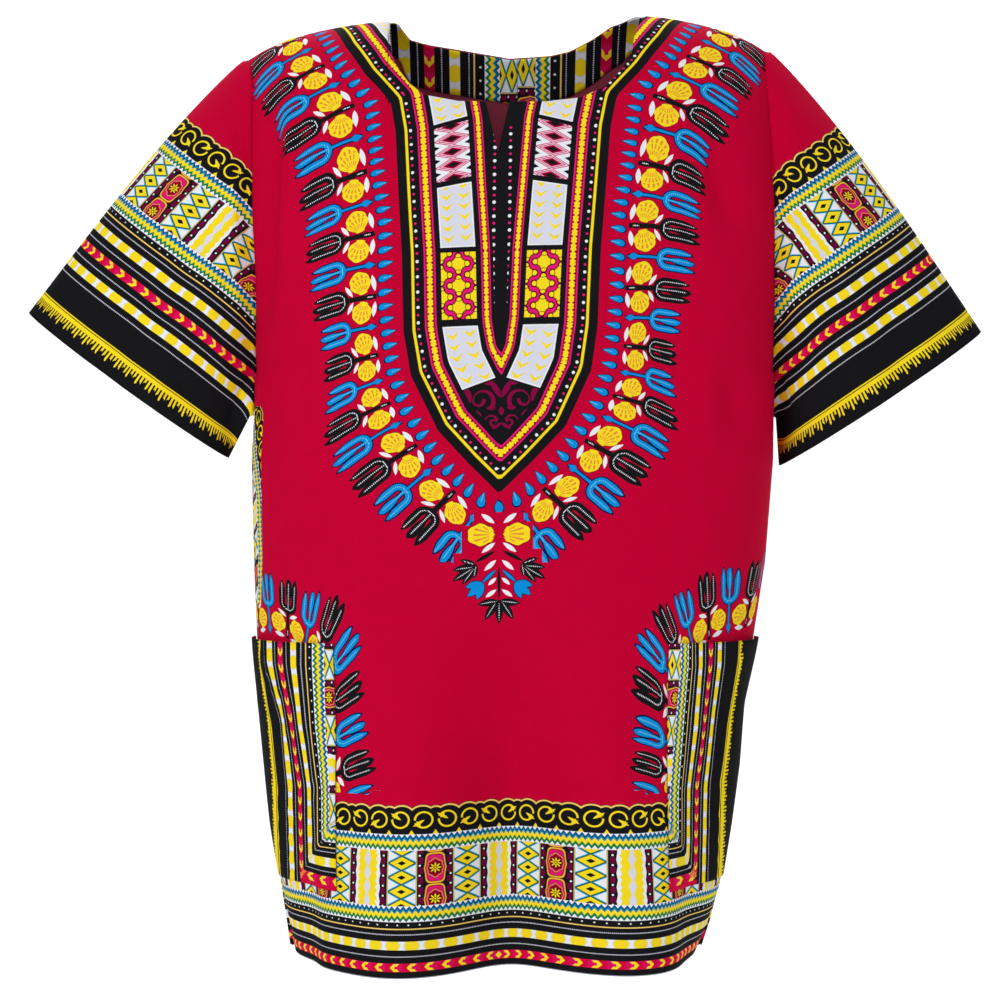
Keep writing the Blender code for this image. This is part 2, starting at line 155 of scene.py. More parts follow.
# %% Sizes of the body
HEM_Z = -0.7755
UNDERARM_Z = -0.332
BEND_Z = -0.300
SEAM_GAP = 0.0003
RIDGE_GAP = 0.0005

RING_COLUMNS = ("height", "middle_x", "half_width", "front_depth", "back_depth", "squareness")
BODY_RINGS = (
    (-0.7755, -0.0115, 0.1712, 0.125, 0.118, 2.5),
    (-0.7543, -0.0090, 0.1768, 0.127, 0.119, 2.5),
    (-0.7207, -0.0068, 0.1842, 0.128, 0.120, 2.5),
    (-0.6700, -0.0063, 0.1914, 0.129, 0.121, 2.5),
    (-0.6200, -0.0053, 0.1970, 0.129, 0.121, 2.5),
    (-0.5695, -0.0058, 0.2014, 0.128, 0.120, 2.5),
    (-0.5190, -0.0026, 0.2064, 0.128, 0.120, 2.6),
    (-0.4520, 0.0012, 0.2131, 0.127, 0.119, 2.6),
    (-0.3680, 0.0036, 0.2172, 0.126, 0.118, 2.7),
    (-0.3320, 0.0048, 0.2165, 0.125, 0.117, 2.7),
    (-0.3000, 0.0055, 0.2160, 0.125, 0.116, 2.8),
)
SHOULDER_COLUMNS = ("bend_deg", "middle_x", "edge_half_width", "half_gap")
SHOULDER_RINGS = (
    (0.0, 0.0055, 0.2130, 0.030),
    (12.0, 0.0050, 0.2130, 0.047),
    (28.0, 0.0040, 0.2135, 0.056),
    (45.0, 0.0025, 0.2125, 0.060),
    (62.0, 0.0010, 0.2120, 0.058),
    (78.0, -0.0006, 0.2140, 0.050),
    (90.0, -0.0013, 0.2195, 0.045),
)
SHOULDER_LINE_COLUMNS = ("from_middle", "height")
SHOULDER_LINE = (
    (0.000, 0.0018),
    (0.110, 0.0018),
    (0.135, -0.0010),
    (0.160, -0.0058),
    (0.185, -0.0124),
    (0.205, -0.0215),
    (0.225, -0.0335),
)
SHOULDER_TILT = 0.024
TILT_REACH = 0.130

SEAM_COLUMNS = ("height", "right_side_depth", "left_side_depth")
SIDE_SEAMS = (
    (-0.7755, 0.002, 0.004),
    (-0.5190, 0.006, 0.006),
    (-0.4500, 0.030, 0.004),
    (-0.3320, 0.034, 0.000),
)

NECK_LEFT_X = 0.115
NECK_RIGHT_X = -0.099
NECK_COLUMNS = ("across", "height")
NECK_FRONT = (
    (-0.0990, 0.0060),
    (-0.0975, -0.0180),
    (-0.0950, -0.0385),
    (-0.0885, -0.0530),
    (-0.0800, -0.0650),
    (-0.0675, -0.0755),
    (-0.0400, -0.0812),
    (0.0300, -0.0816),
    (0.0580, -0.0782),
    (0.0790, -0.0675),
    (0.0917, -0.0530),
    (0.1000, -0.0385),
    (0.1040, -0.0180),
    (0.1150, 0.0060),
)
NECK_BACK = (
    (-0.0990, 0.0060),
    (-0.0828, -0.0093),
    (-0.0663, -0.0126),
    (-0.0324, -0.0170),
    (0.0019, -0.0218),
    (0.0362, -0.0196),
    (0.0532, -0.0163),
    (0.0701, -0.0090),
    (0.0866, -0.0004),
    (0.1029, 0.0040),
    (0.1150, 0.0060),
)
SLIT_X = -0.0085
SLIT_HALF_WIDTH = 0.0095
SLIT_DEPTH = 0.043

POCKET_TOP_Z = -0.515
POCKET_BOTTOM_Z = -0.711
POCKET_EDGE_COLUMNS = ("height", "right_pocket_x", "left_pocket_x")
POCKET_INNER_EDGE = (
    (-0.711, -0.1320, 0.1197),
    (-0.515, -0.1390, 0.1260),
)
POCKET_MOUTH_STANDS = 0.0035
OFF_THE_CLOTH = 0.0018
FACING_SEAM_X = 0.0085
FACING_ROWS = 12

# %% [markdown]
# ## Folds and creases
# The big folds come from the fall of the cloth and are the plain model's own. Small creases
# come from wear and packing: short, uneven, and deepest near the seams that pull on them. A
# crease is a soft bell across and fades at its ends, so a table with a row for each gives
# them all. The hidden back gets creases of the same kind.

# %% Folds and creases
# A fold runs from its top to its foot. Its height is out of the cloth, so a trough is
# negative. Its fades are the shares of its length over which it rises and dies away.
# Each row: face, top x and z, foot x and z, half width, height, fades at top and foot.
BODY_FOLDS = (
    ("front", 0.008, -0.420, 0.004, -0.790, 0.052, -0.046, 0.80, 0.0),
    ("front", -0.060, -0.480, -0.085, -0.790, 0.048, 0.020, 0.80, 0.0),
    ("front", 0.060, -0.470, 0.098, -0.790, 0.042, 0.021, 0.80, 0.0),
    ("front", -0.172, -0.600, -0.168, -0.790, 0.018, -0.010, 0.70, 0.0),
    ("front", 0.150, -0.600, 0.150, -0.790, 0.020, -0.007, 0.70, 0.0),
    ("front", -0.192, -0.070, -0.200, -0.280, 0.009, -0.011, 0.25, 0.35),
    ("front", 0.160, -0.090, 0.186, -0.200, 0.015, -0.008, 0.40, 0.40),
    ("front", 0.170, -0.270, 0.194, -0.370, 0.015, -0.006, 0.50, 0.40),
    ("front", 0.116, -0.160, 0.146, -0.430, 0.022, -0.005, 0.50, 0.50),
    ("back", -0.060, -0.380, -0.066, -0.790, 0.046, -0.034, 0.80, 0.0),
    ("back", 0.070, -0.360, 0.078, -0.790, 0.050, -0.038, 0.80, 0.0),
    ("back", 0.004, -0.420, 0.002, -0.790, 0.036, 0.015, 0.80, 0.0),
    ("back", 0.135, -0.480, 0.138, -0.790, 0.030, 0.010, 0.80, 0.0),
    ("back", -0.132, -0.460, -0.130, -0.790, 0.030, 0.010, 0.80, 0.0),
    ("back", 0.165, -0.110, 0.185, -0.290, 0.010, -0.009, 0.30, 0.40),
    ("back", -0.168, -0.120, -0.188, -0.300, 0.010, -0.008, 0.30, 0.40),
    ("back", 0.020, -0.110, 0.050, -0.260, 0.020, -0.005, 0.50, 0.50),
    ("back", -0.050, -0.120, -0.090, -0.280, 0.020, -0.004, 0.50, 0.50),
)
BODY_CREASES = (
    ("front", -0.176, -0.060, -0.190, -0.270, 0.006, 0.0022, 0.30, 0.40),
    ("front", -0.186, -0.235, -0.150, -0.330, 0.010, -0.0018, 0.50, 0.50),
    ("front", -0.192, -0.330, -0.140, -0.400, 0.009, 0.0014, 0.40, 0.60),
    ("front", 0.184, -0.280, 0.150, -0.352, 0.008, 0.0018, 0.40, 0.60),
    ("front", 0.190, -0.340, 0.128, -0.452, 0.011, -0.0016, 0.30, 0.70),
    ("front", 0.140, -0.330, 0.170, -0.470, 0.009, 0.0013, 0.50, 0.50),
    ("front", -0.130, -0.420, -0.134, -0.640, 0.014, -0.0022, 0.60, 0.30),
    ("front", -0.104, -0.500, -0.112, -0.680, 0.012, 0.0012, 0.50, 0.50),
    ("front", -0.038, -0.500, -0.042, -0.660, 0.016, -0.0016, 0.60, 0.40),
    ("front", 0.036, -0.520, 0.046, -0.650, 0.014, 0.0012, 0.60, 0.40),
    ("front", 0.106, -0.540, 0.100, -0.690, 0.013, -0.0014, 0.50, 0.50),
    ("front", 0.080, -0.250, 0.104, -0.400, 0.016, 0.0011, 0.50, 0.50),
    ("front", -0.090, -0.230, -0.108, -0.390, 0.018, -0.0010, 0.50, 0.50),
    ("front", 0.012, -0.440, 0.030, -0.560, 0.013, 0.0010, 0.50, 0.50),
    ("back", -0.150, -0.240, -0.120, -0.350, 0.010, -0.0020, 0.50, 0.50),
    ("back", 0.160, -0.250, 0.120, -0.370, 0.010, -0.0022, 0.50, 0.50),
    ("back", -0.180, -0.330, -0.120, -0.420, 0.009, 0.0016, 0.40, 0.60),
    ("back", 0.186, -0.330, 0.130, -0.440, 0.011, 0.0018, 0.40, 0.60),
    ("back", 0.100, -0.420, 0.110, -0.600, 0.013, -0.0018, 0.50, 0.50),
    ("back", -0.100, -0.440, -0.104, -0.620, 0.014, 0.0015, 0.50, 0.50),
    ("back", 0.030, -0.470, 0.034, -0.650, 0.012, -0.0014, 0.50, 0.50),
    ("back", -0.030, -0.300, -0.040, -0.450, 0.016, 0.0012, 0.50, 0.50),
    ("back", 0.060, -0.090, 0.030, -0.200, 0.016, 0.0013, 0.50, 0.50),
)
SLEEVE_FOLDS = (
    ("front", -0.236, -0.110, -0.268, -0.250, 0.014, -0.007, 0.40, 0.50),
    ("front", -0.262, -0.080, -0.330, -0.200, 0.018, -0.004, 0.50, 0.50),
    ("front", -0.292, -0.230, -0.330, -0.300, 0.014, -0.004, 0.50, 0.0),
    ("front", 0.233, -0.045, 0.262, -0.080, 0.012, -0.007, 0.40, 0.50),
    ("front", 0.240, -0.120, 0.262, -0.270, 0.015, -0.005, 0.40, 0.50),
    ("front", 0.290, -0.180, 0.330, -0.310, 0.016, -0.004, 0.50, 0.0),
    ("back", -0.240, -0.100, -0.290, -0.260, 0.016, -0.008, 0.40, 0.50),
    ("back", -0.280, -0.090, -0.340, -0.220, 0.018, -0.005, 0.50, 0.50),
    ("back", 0.242, -0.100, 0.280, -0.270, 0.016, -0.008, 0.40, 0.50),
    ("back", 0.285, -0.100, 0.340, -0.240, 0.018, -0.005, 0.50, 0.50),
)
SLEEVE_CREASES = (
    ("front", -0.225, -0.070, -0.250, -0.180, 0.007, 0.0022, 0.40, 0.50),
    ("front", -0.246, -0.260, -0.300, -0.330, 0.010, 0.0016, 0.50, 0.20),
    ("front", -0.290, -0.130, -0.350, -0.230, 0.012, 0.0014, 0.50, 0.40),
    ("front", 0.230, -0.190, 0.246, -0.330, 0.008, 0.0020, 0.40, 0.30),
    ("front", 0.265, -0.110, 0.320, -0.200, 0.013, 0.0014, 0.50, 0.50),
    ("front", 0.320, -0.170, 0.365, -0.260, 0.011, -0.0014, 0.50, 0.20),
    ("back", -0.228, -0.090, -0.255, -0.220, 0.008, 0.0020, 0.40, 0.50),
    ("back", -0.300, -0.180, -0.350, -0.280, 0.012, 0.0015, 0.50, 0.30),
    ("back", 0.230, -0.110, 0.252, -0.240, 0.008, 0.0020, 0.40, 0.50),
    ("back", 0.300, -0.190, 0.345, -0.290, 0.012, 0.0015, 0.50, 0.30),
)


def column(table, names, name):
    """One named column of a table, as an array."""
    place = names.index(name)
    return np.array([row[place] for row in table])


def lookup(table, names, key, name, at):
    """The named column read at a value of the key column, straight between rows."""
    return np.interp(at, column(table, names, key), column(table, names, name))


def smooth_step(value):
    held = np.clip(value, 0.0, 1.0)
    return held * held * (3.0 - 2.0 * held)


def fold_height(folds, x, z, face):
    """How far the folds lift the cloth at points seen from the front."""
    lift = np.zeros_like(x)
    for fold_face, top_x, top_z, foot_x, foot_z, half_width, height, fade_top, fade_foot in folds:
        run = np.array([foot_x - top_x, foot_z - top_z])
        length = np.hypot(*run)
        run = run / length
        along = ((x - top_x) * run[0] + (z - top_z) * run[1]) / length
        aside = (x - top_x) * run[1] - (z - top_z) * run[0]
        window = smooth_step(along / fade_top)
        if fade_foot > 0.0:
            window = window * smooth_step((1.0 - along) / fade_foot)
        profile = np.exp(-((aside / half_width) ** 2))
        lift = lift + np.where(face == fold_face, height * profile * window, 0.0)
    return lift


print(len(BODY_FOLDS + SLEEVE_FOLDS), "folds,", len(BODY_CREASES + SLEEVE_CREASES), "creases")

# %% [markdown]
# ## From a ring to a sheet
# Every point of the body's cloth has an angle round the oval and a height. Above the chest
# the height stops and a bend takes over, a quarter turn at the shoulder line. A function that
# turns these into a place in space serves both panels, the pockets and the facing.

# %% The body's surface


def shoulder_height(x):
    level = lookup(SHOULDER_LINE, SHOULDER_LINE_COLUMNS, "from_middle", "height", np.abs(x))
    return level + SHOULDER_TILT * np.clip(x, -TILT_REACH, TILT_REACH)


def ring_size(name, height):
    return lookup(BODY_RINGS, RING_COLUMNS, "height", name, height)


def shoulder_size(name, bend):
    return lookup(SHOULDER_RINGS, SHOULDER_COLUMNS, "bend_deg", name, np.degrees(bend))


def angle_at_depth(depth, full_depth, squareness):
    """The oval's angle from the front at which it stands this far forward of the side."""
    share = np.clip(depth / full_depth, 0.0, 1.0)
    return np.arccos(share ** (squareness / 2.0))


def ring_shape(height, bend):
    """Middle, half width, front and back depth and squareness of the ring at each place."""
    squareness = ring_size("squareness", height)
    front = ring_size("front_depth", height)
    back = ring_size("back_depth", height)
    edge = angle_at_depth(shoulder_size("half_gap", bend), front, squareness)
    edge_share = np.sin(edge) ** (2.0 / squareness)
    above = bend > 0.0
    middle = np.where(above, shoulder_size("middle_x", bend), ring_size("middle_x", height))
    half = np.where(
        above, shoulder_size("edge_half_width", bend) / edge_share, ring_size("half_width", height)
    )
    return middle, half, front, back, squareness


def plain_surface(angle, height, bend):
    """Points of the body's cloth with no folds, and the way out of it."""
    middle, half, front, back, squareness = ring_shape(height, bend)
    power = 2.0 / squareness
    across = np.sin(angle)
    ahead = np.cos(angle)
    x = middle + half * np.sign(across) * np.abs(across) ** power
    depth = np.where(ahead > 0.0, front, back)
    y = -depth * np.sign(ahead) * np.abs(ahead) ** power * np.cos(bend)
    z = height + (shoulder_height(x) - height) * np.sin(bend)
    out = np.stack([across * np.cos(bend), -ahead * np.cos(bend), np.sin(bend)], axis=-1)
    return np.stack([x, y, z], axis=-1), out


def body_surface(angle, height, bend):
    """Points of the body's cloth with its folds and creases, and the way out of it."""
    points, out = plain_surface(angle, height, bend)
    face = np.where(np.cos(angle) > 0.0, "front", "back")
    lift = fold_height(BODY_FOLDS + BODY_CREASES, points[..., 0], points[..., 2], face)
    return points + out * lift[..., None], out


def neck_height(x, face):
    """Height of the neck edge, with the slit's V cut into the front."""
    if face == "back":
        return lookup(NECK_BACK, NECK_COLUMNS, "across", "height", x)
    slit = SLIT_DEPTH * np.clip(1.0 - np.abs(x - SLIT_X) / SLIT_HALF_WIDTH, 0.0, 1.0)
    return lookup(NECK_FRONT, NECK_COLUMNS, "across", "height", x) - slit


def side_seam_angle(side, height):
    name = "left_side_depth" if side > 0 else "right_side_depth"
    forward = lookup(SIDE_SEAMS, SEAM_COLUMNS, "height", name, height)
    full_depth, squareness = ring_size("front_depth", height), ring_size("squareness", height)
    return angle_at_depth(forward, full_depth, squareness)


def edge_angle(side, face, height, bend):
    """Angle of a panel's edge: the side seam, then the armhole above the underarm."""
    seam = side_seam_angle(side, height)
    depth_name = "front_depth" if face == "front" else "back_depth"
    gap = shoulder_size("half_gap", bend)
    opened = angle_at_depth(gap, ring_size(depth_name, BEND_Z), ring_size("squareness", BEND_Z))
    if face == "back":
        opened = math.pi - opened
    share = np.clip((height - UNDERARM_Z) / (BEND_Z - UNDERARM_Z), 0.0, 1.0) ** 0.5
    return seam + (opened - seam) * share


def angle_at_x(x, face, height, bend):
    """Angle at which the front or back of a ring passes x."""
    middle, half, _, _, squareness = ring_shape(height, bend)
    share = np.clip((x - middle) / half, -1.0, 1.0)
    angle = np.arcsin(np.sign(share) * np.abs(share) ** (squareness / 2.0))
    return angle if face == "front" else math.pi - angle


# %% [markdown]
# The panels are cut into faces about 3.5 mm long, fine enough for a print whose bands follow
# the cloth. Rows are level up to the chest, and share the same bends as far as the neck, so
# that the faces beside the neck opening don't lean. The last rows close up on its edge. The
# columns stand at fixed places across the neck, and fan out between a pocket's inner edge
# and the side seam, with a few more to bridge the way from the neck to the fan.

# %% Grids of the panels
FACE_LENGTH = 0.0036
FAN_COLUMNS = 30
FAN_CROWDING = 1.15
BRIDGE_COLUMNS = 9
BESIDE_NECK_X = 0.2
COMMON_BEND = math.radians(30.0)
COMMON_ROWS = 30
NECK_ROWS = 34


def filled(places, spacing):
    """The same places with more between them, none further apart than the spacing."""
    more = []
    for here, there in zip(places, places[1:]):
        count = max(1, math.ceil(abs(there - here) / spacing))
        more += [here + (there - here) * step / count for step in range(count)]
    return np.array(more + [places[-1]])


WALL_ROWS = filled([HEM_Z, POCKET_BOTTOM_Z, POCKET_TOP_Z, UNDERARM_Z], FACE_LENGTH)
RISE_ROWS = filled([UNDERARM_Z, BEND_Z], FACE_LENGTH)[1:]


def neck_columns():
    slit_points = [SLIT_X + share * SLIT_HALF_WIDTH for share in (-1.0, 0.0, 1.0)]
    edge_points = list(column(NECK_FRONT, NECK_COLUMNS, "across"))
    return filled(sorted(edge_points + slit_points + [FACING_SEAM_X]), FACE_LENGTH)


def rows_of_column(x, face):
    """Height and bend of each point up one column, ending on the shoulder or neck edge."""
    top = shoulder_height(x)
    if NECK_RIGHT_X < x < NECK_LEFT_X:
        top = neck_height(x, face)
    share = (top - BEND_Z) / (shoulder_height(x) - BEND_Z)
    last = math.asin(min(1.0, share))
    common = np.linspace(0.0, COMMON_BEND, COMMON_ROWS + 1)[1:]
    rest = np.linspace(COMMON_BEND, last, NECK_ROWS + 1)[1:]
    bends = np.concatenate([np.zeros(len(WALL_ROWS) + len(RISE_ROWS)), common, rest])
    upright = np.concatenate([WALL_ROWS, RISE_ROWS])
    return np.concatenate([upright, np.full(len(bends) - len(upright), BEND_Z)]), bends


def panel_grid(face):
    """Heights, bends and angles of every point of the front or back, from -X to +X."""
    shares = np.sin(np.linspace(0.0, math.pi / 2.0, FAN_COLUMNS + 1)) ** FAN_CROWDING
    fans = []
    for side, edge_name in ((-1, "right_pocket_x"), (1, "left_pocket_x")):
        height, bend = rows_of_column(BESIDE_NECK_X, face)
        inner_x = lookup(POCKET_INNER_EDGE, POCKET_EDGE_COLUMNS, "height", edge_name, height)
        inner = angle_at_x(inner_x, face, height, bend)
        edge = edge_angle(side, face, height, bend) * side
        neck_x = np.full_like(height, NECK_RIGHT_X if side < 0 else NECK_LEFT_X)
        neck = angle_at_x(neck_x, face, height, bend)
        if face == "back" and side < 0:
            inner, neck = inner - 2.0 * math.pi, neck - 2.0 * math.pi
        bridge = np.arange(1, BRIDGE_COLUMNS + 1) / (BRIDGE_COLUMNS + 1.0)
        fan = [(height, bend, neck + (inner - neck) * share) for share in bridge]
        fan += [(height, bend, inner + (edge - inner) * share) for share in shares]
        if side < 0:
            fans += fan[::-1]
            for x in neck_columns():
                height, bend = rows_of_column(x, face)
                across = np.full_like(height, x)
                fans.append((height, bend, angle_at_x(across, face, height, bend)))
        else:
            fans += fan
    return tuple(np.array(part).T for part in zip(*fans))


def draw_in(grid, edge, amount):
    """Moves one edge of a grid of points towards the row or column beside it."""
    places = {
        "left": (np.s_[:, 0], np.s_[:, 1]),
        "right": (np.s_[:, -1], np.s_[:, -2]),
        "top": (np.s_[-1, :], np.s_[-2, :]),
    }
    here, beside = places[edge]
    away = grid[beside] - grid[here]
    grid[here] += away / np.linalg.norm(away, axis=-1, keepdims=True) * amount


def panel_points(face):
    points, out = body_surface(*(grids[face][i] for i in (2, 0, 1)))
    for edge in ("left", "right"):
        draw_in(points, edge, SEAM_GAP / 2.0)
    draw_in(points, "top", RIDGE_GAP / 2.0)
    return points, out


grids = {face: panel_grid(face) for face in ("front", "back")}
panels = {face: panel_points(face) for face in grids}
print("front and back grids", panels["front"][0].shape[:2], panels["back"][0].shape[:2])

# %% [markdown]
# ## Sleeves, pockets and facing
# A sleeve is a tube from the armhole to the cuff, so its first loop is the panels' own edge.
# A pocket and a facing lie on a panel, so they are patches of that panel's grid moved out or
# in by a little more than the cloth's thickness.

# %% Sleeves, pockets and facing
SLEEVES = (
    (-1, -0.4020, -0.2440, -0.2345, -0.3660, 0.0065),
    (1, 0.3970, -0.2600, 0.2275, -0.3725, 0.0075),
)
SLEEVE_DEPTH_COLUMNS = ("along", "stands_out", "clear_of_side")
SLEEVE_DEPTHS = (
    (0.00, 0.000, 0.000),
    (0.08, 0.010, 0.006),
    (0.30, 0.016, 0.009),
    (0.60, 0.010, 0.006),
    (1.00, 0.000, 0.000),
)
CUFF_HALF_DEPTH = 0.050
CUFF_SQUARENESS = 1.8
CUFF_FRONT_DROP = 0.0020
BOW_CROWDING = 0.75
SLEEVE_SEAM_OUT = 0.0005
SLEEVE_STARTS_OUT = 0.0030
SLEEVE_ALONG = 66


def armhole_loop(side):
    """The armhole all round, and its turn: 0 at the shoulder, half a turn at the underarm."""
    edge = -1 if side > 0 else 0
    rows = np.s_[len(WALL_ROWS) - 1 :]
    front = panels["front"][0][rows, edge][::-1]
    back = panels["back"][0][rows, edge]
    shoulder = (front[0] + back[-1]) / 2.0
    underarm = (front[-1] + back[0]) / 2.0
    loop = np.concatenate([[shoulder], front[1:-1], [underarm], back[1:-1]])
    loop[:, 0] += side * SLEEVE_SEAM_OUT
    turns = []
    for half in (loop[: len(front)], np.concatenate([loop[len(front) - 1 :], loop[:1]])):
        steps = np.linalg.norm(np.diff(half, axis=0), axis=1)
        turns.append(math.pi * np.concatenate([[0.0], np.cumsum(steps)])[:-1] / steps.sum())
    return loop, np.concatenate([turns[0], math.pi + turns[1]])


def cuff_loop(turn, outer_x, outer_z, inner_x, inner_z):
    """The cuff's edge: an oval across the line between its outer and inner corners."""
    power = 2.0 / CUFF_SQUARENESS
    across = 0.5 - 0.5 * np.sign(np.cos(turn)) * np.abs(np.cos(turn)) ** power
    depth = -CUFF_HALF_DEPTH * np.sign(np.sin(turn)) * np.abs(np.sin(turn)) ** power
    length = math.hypot(inner_x - outer_x, inner_z - outer_z)
    down = np.array([-abs(inner_z - outer_z) * np.sign(inner_x), -abs(inner_x - outer_x)]) / length
    drop = CUFF_FRONT_DROP * np.sin(turn)
    x = outer_x + (inner_x - outer_x) * across - down[0] * drop
    z = outer_z + (inner_z - outer_z) * across + down[1] * drop
    return np.stack([x, depth, z], axis=-1)


def sleeve_size(name, along):
    return lookup(SLEEVE_DEPTHS, SLEEVE_DEPTH_COLUMNS, "along", name, along)


def sleeve_points(side, outer_x, outer_z, inner_x, inner_z, bow):
    """A tube lofted from the armhole's loop to the cuff's."""
    seam, turn = armhole_loop(side)
    start = seam + np.array([side * SLEEVE_STARTS_OUT, 0.0, 0.0])
    end = cuff_loop(turn, outer_x, outer_z, inner_x, inner_z)
    along = np.linspace(0.0, 1.0, SLEEVE_ALONG + 1)[:, None]
    grid = start + (end - start) * along[..., None]
    upper = np.clip(np.cos(turn), 0.0, 1.0) ** 2
    run = end[0] - start[0]
    outward = np.array([side * -run[2], 0.0, side * run[0]]) / np.hypot(run[0], run[2])
    grid += outward * (bow * np.sin(math.pi * along ** BOW_CROWDING) * upper)[..., None]
    lower = np.clip(0.4 - np.cos(turn), 0.0, 1.0) * np.sqrt(np.abs(np.sin(turn)))
    grid[..., 0] += side * sleeve_size("clear_of_side", along) * lower
    face = np.broadcast_to(np.where(np.sin(turn) > 0.0, "front", "back"), grid.shape[:2])
    lift = fold_height(SLEEVE_FOLDS + SLEEVE_CREASES, grid[..., 0], grid[..., 2], face)
    grid[..., 1] -= (sleeve_size("stands_out", along) + lift) * np.sin(turn)
    return np.concatenate([seam[None], grid])


def pocket_points(side):
    """A pocket made from the front panel's points, moved out, its mouth standing open."""
    points, out = panels["front"]
    first = int(np.argmin(np.abs(WALL_ROWS - POCKET_BOTTOM_Z)))
    last = int(np.argmin(np.abs(WALL_ROWS - POCKET_TOP_Z)))
    columns = np.s_[: FAN_COLUMNS + 1] if side < 0 else np.s_[-FAN_COLUMNS - 1 :]
    patch = (np.s_[first : last + 1], columns)
    grid = points[patch].copy()
    up = np.linspace(0.0, 1.0, last - first + 1)[:, None]
    across = np.linspace(0.0, 1.0, FAN_COLUMNS + 1)[None, :]
    stands = POCKET_MOUTH_STANDS * smooth_step(up * 3.0 - 2.0) * np.sin(math.pi * across)
    return grid + out[patch] * (OFF_THE_CLOTH + stands)[..., None], patch


def facing_points(half):
    """Half of the back neck facing, made from the back panel's points, moved in."""
    points, out = panels["back"]
    places = neck_columns()
    before = FAN_COLUMNS + 1 + BRIDGE_COLUMNS
    seam = int(np.argmin(np.abs(places - FACING_SEAM_X))) + before
    last = before + len(places) + BRIDGE_COLUMNS
    columns = np.s_[FAN_COLUMNS : seam + 1] if half < 0 else np.s_[seam : last + 1]
    patch = (np.s_[-FACING_ROWS - 1 :], columns)
    grid = points[patch] - out[patch] * OFF_THE_CLOTH
    draw_in(grid, "right" if half < 0 else "left", SEAM_GAP / 2.0)
    return grid, patch


# %% [markdown]
# ## Where each thread of the cloth is
# The print was made on flat cloth, so each point of the shirt needs its place on that cloth:
# how far across from the middle of the print and how far down from the shoulder line. Both
# are lengths measured along the surface, and they ride on the mesh as UV maps. An image
# could carry the print too, but lengths in millimetres let each band be drawn at its own
# size with sharp edges at any zoom.

# %% Lengths along the cloth
PRINT_X = -0.0075
MEASURE_STEPS = 40
MM = 1000.0


def path_length(points_at, steps=MEASURE_STEPS):
    """Length of the path that points_at draws as its share goes from 0 to 1."""
    total = 0.0
    before = points_at(0.0)
    for step in range(1, steps + 1):
        here = points_at(step / steps)
        total = total + np.linalg.norm(here - before, axis=-1)
        before = here
    return total


def cloth_place(face):
    """Across from the print's middle and down from the shoulder, in mm, of a panel's points."""
    height, bend, angle = grids[face]
    angle = np.where(angle < 0.0, angle + 2.0 * math.pi, angle) if face == "back" else angle
    middle = angle_at_x(np.full_like(height, PRINT_X), face, height, bend)
    ridge = math.pi / 2.0
    level = np.where(bend > 0.0, height, BEND_Z)

    def round_the_body(share):
        return plain_surface(middle + (angle - middle) * share, height, bend)[0]

    def over_the_shoulder(share):
        return plain_surface(angle, level, ridge + (bend - ridge) * share)[0]

    across = path_length(round_the_body)
    across = across * np.sign(angle - middle) * (1.0 if face == "front" else -1.0)
    down = path_length(over_the_shoulder) + np.where(bend > 0.0, 0.0, BEND_Z - height)
    return across * MM, down * MM


places = {face: cloth_place(face) for face in grids}
for face, (across, down) in places.items():
    print(face, "across", across.min().round(), "to", across.max().round(), "mm")
    print(face, "down to", down.max().round(), "mm")

# %% [markdown]
# The yoke print is a pointed shield round the neck. All its bands run along its outline, so
# the useful length is how deep a point lies inside that outline. The outline is a polyline
# on the flat cloth, half of it given and the other half its mirror, and the print sits a few
# millimetres off centre, as cut cloth does.

# %% Depth inside the yoke's outline
YOKE_OUTLINE = (
    (0.0, 446.0), (25.0, 421.5), (50.0, 394.5), (71.0, 350.0), (76.5, 315.0), (78.5, 255.0),
    (82.5, 200.0), (86.0, 150.0), (91.0, 122.0), (113.0, 92.0), (132.0, 55.0), (147.0, 15.0),
    (152.0, -20.0), (140.0, -60.0), (105.0, -95.0), (55.0, -115.0), (0.0, -122.0),
)
# How far the print's middle is off at each distance down.
PRINT_SHIFT = (
    (-120.0, 7.0), (20.0, 7.0), (117.0, 3.8), (200.0, 2.5), (315.0, 1.1), (390.0, 2.0),
    (446.0, 0.0),
)


def print_place(face):
    """Across from the print's own middle, and down: negative down is over the back."""
    across, down = places[face]
    down = down if face == "front" else -down
    shift = np.interp(down, *np.array(PRINT_SHIFT).T)
    return across - shift, down


def outline_depth(across, down):
    """Depth inside the yoke, and how far along its outline from the tip, in mm."""
    corners = np.array(YOKE_OUTLINE)
    place = np.stack([np.abs(across), down], axis=-1)
    nearest = np.full(across.shape, np.inf)
    along = np.zeros(across.shape)
    inside = np.zeros(across.shape, bool)
    passed = 0.0
    for here, there in zip(corners, corners[1:]):
        run = there - here
        length = np.hypot(*run)
        share = np.clip(((place - here) @ run) / length**2, 0.0, 1.0)
        gap = np.linalg.norm(place - here - share[..., None] * run, axis=-1)
        closer = gap < nearest
        along = np.where(closer, passed + share * length, along)
        nearest = np.minimum(nearest, gap)
        crosses = (here[1] > place[..., 1]) != (there[1] > place[..., 1])
        crossing = here[0] + (place[..., 1] - here[1]) / (run[1] or 1.0) * run[0]
        inside ^= crosses & (place[..., 0] < crossing)
        passed += length
    return np.where(inside, nearest, -nearest), along


prints = {face: print_place(face) for face in grids}
yokes = {face: outline_depth(*prints[face]) for face in grids}
print("deepest point of the yoke", yokes["front"][0].max().round(), "mm in")

# %% [markdown]
# Round the yoke run two rows of small figures: teardrops close to its edge, and sprays with
# three prongs further out. Each row is a ladder laid on the cloth between two rails. A
# point's place in the ladder is the rung it is next to and how far it is from the first rail
# to the second, so a figure drawn once for one rung turns and leans with the row.

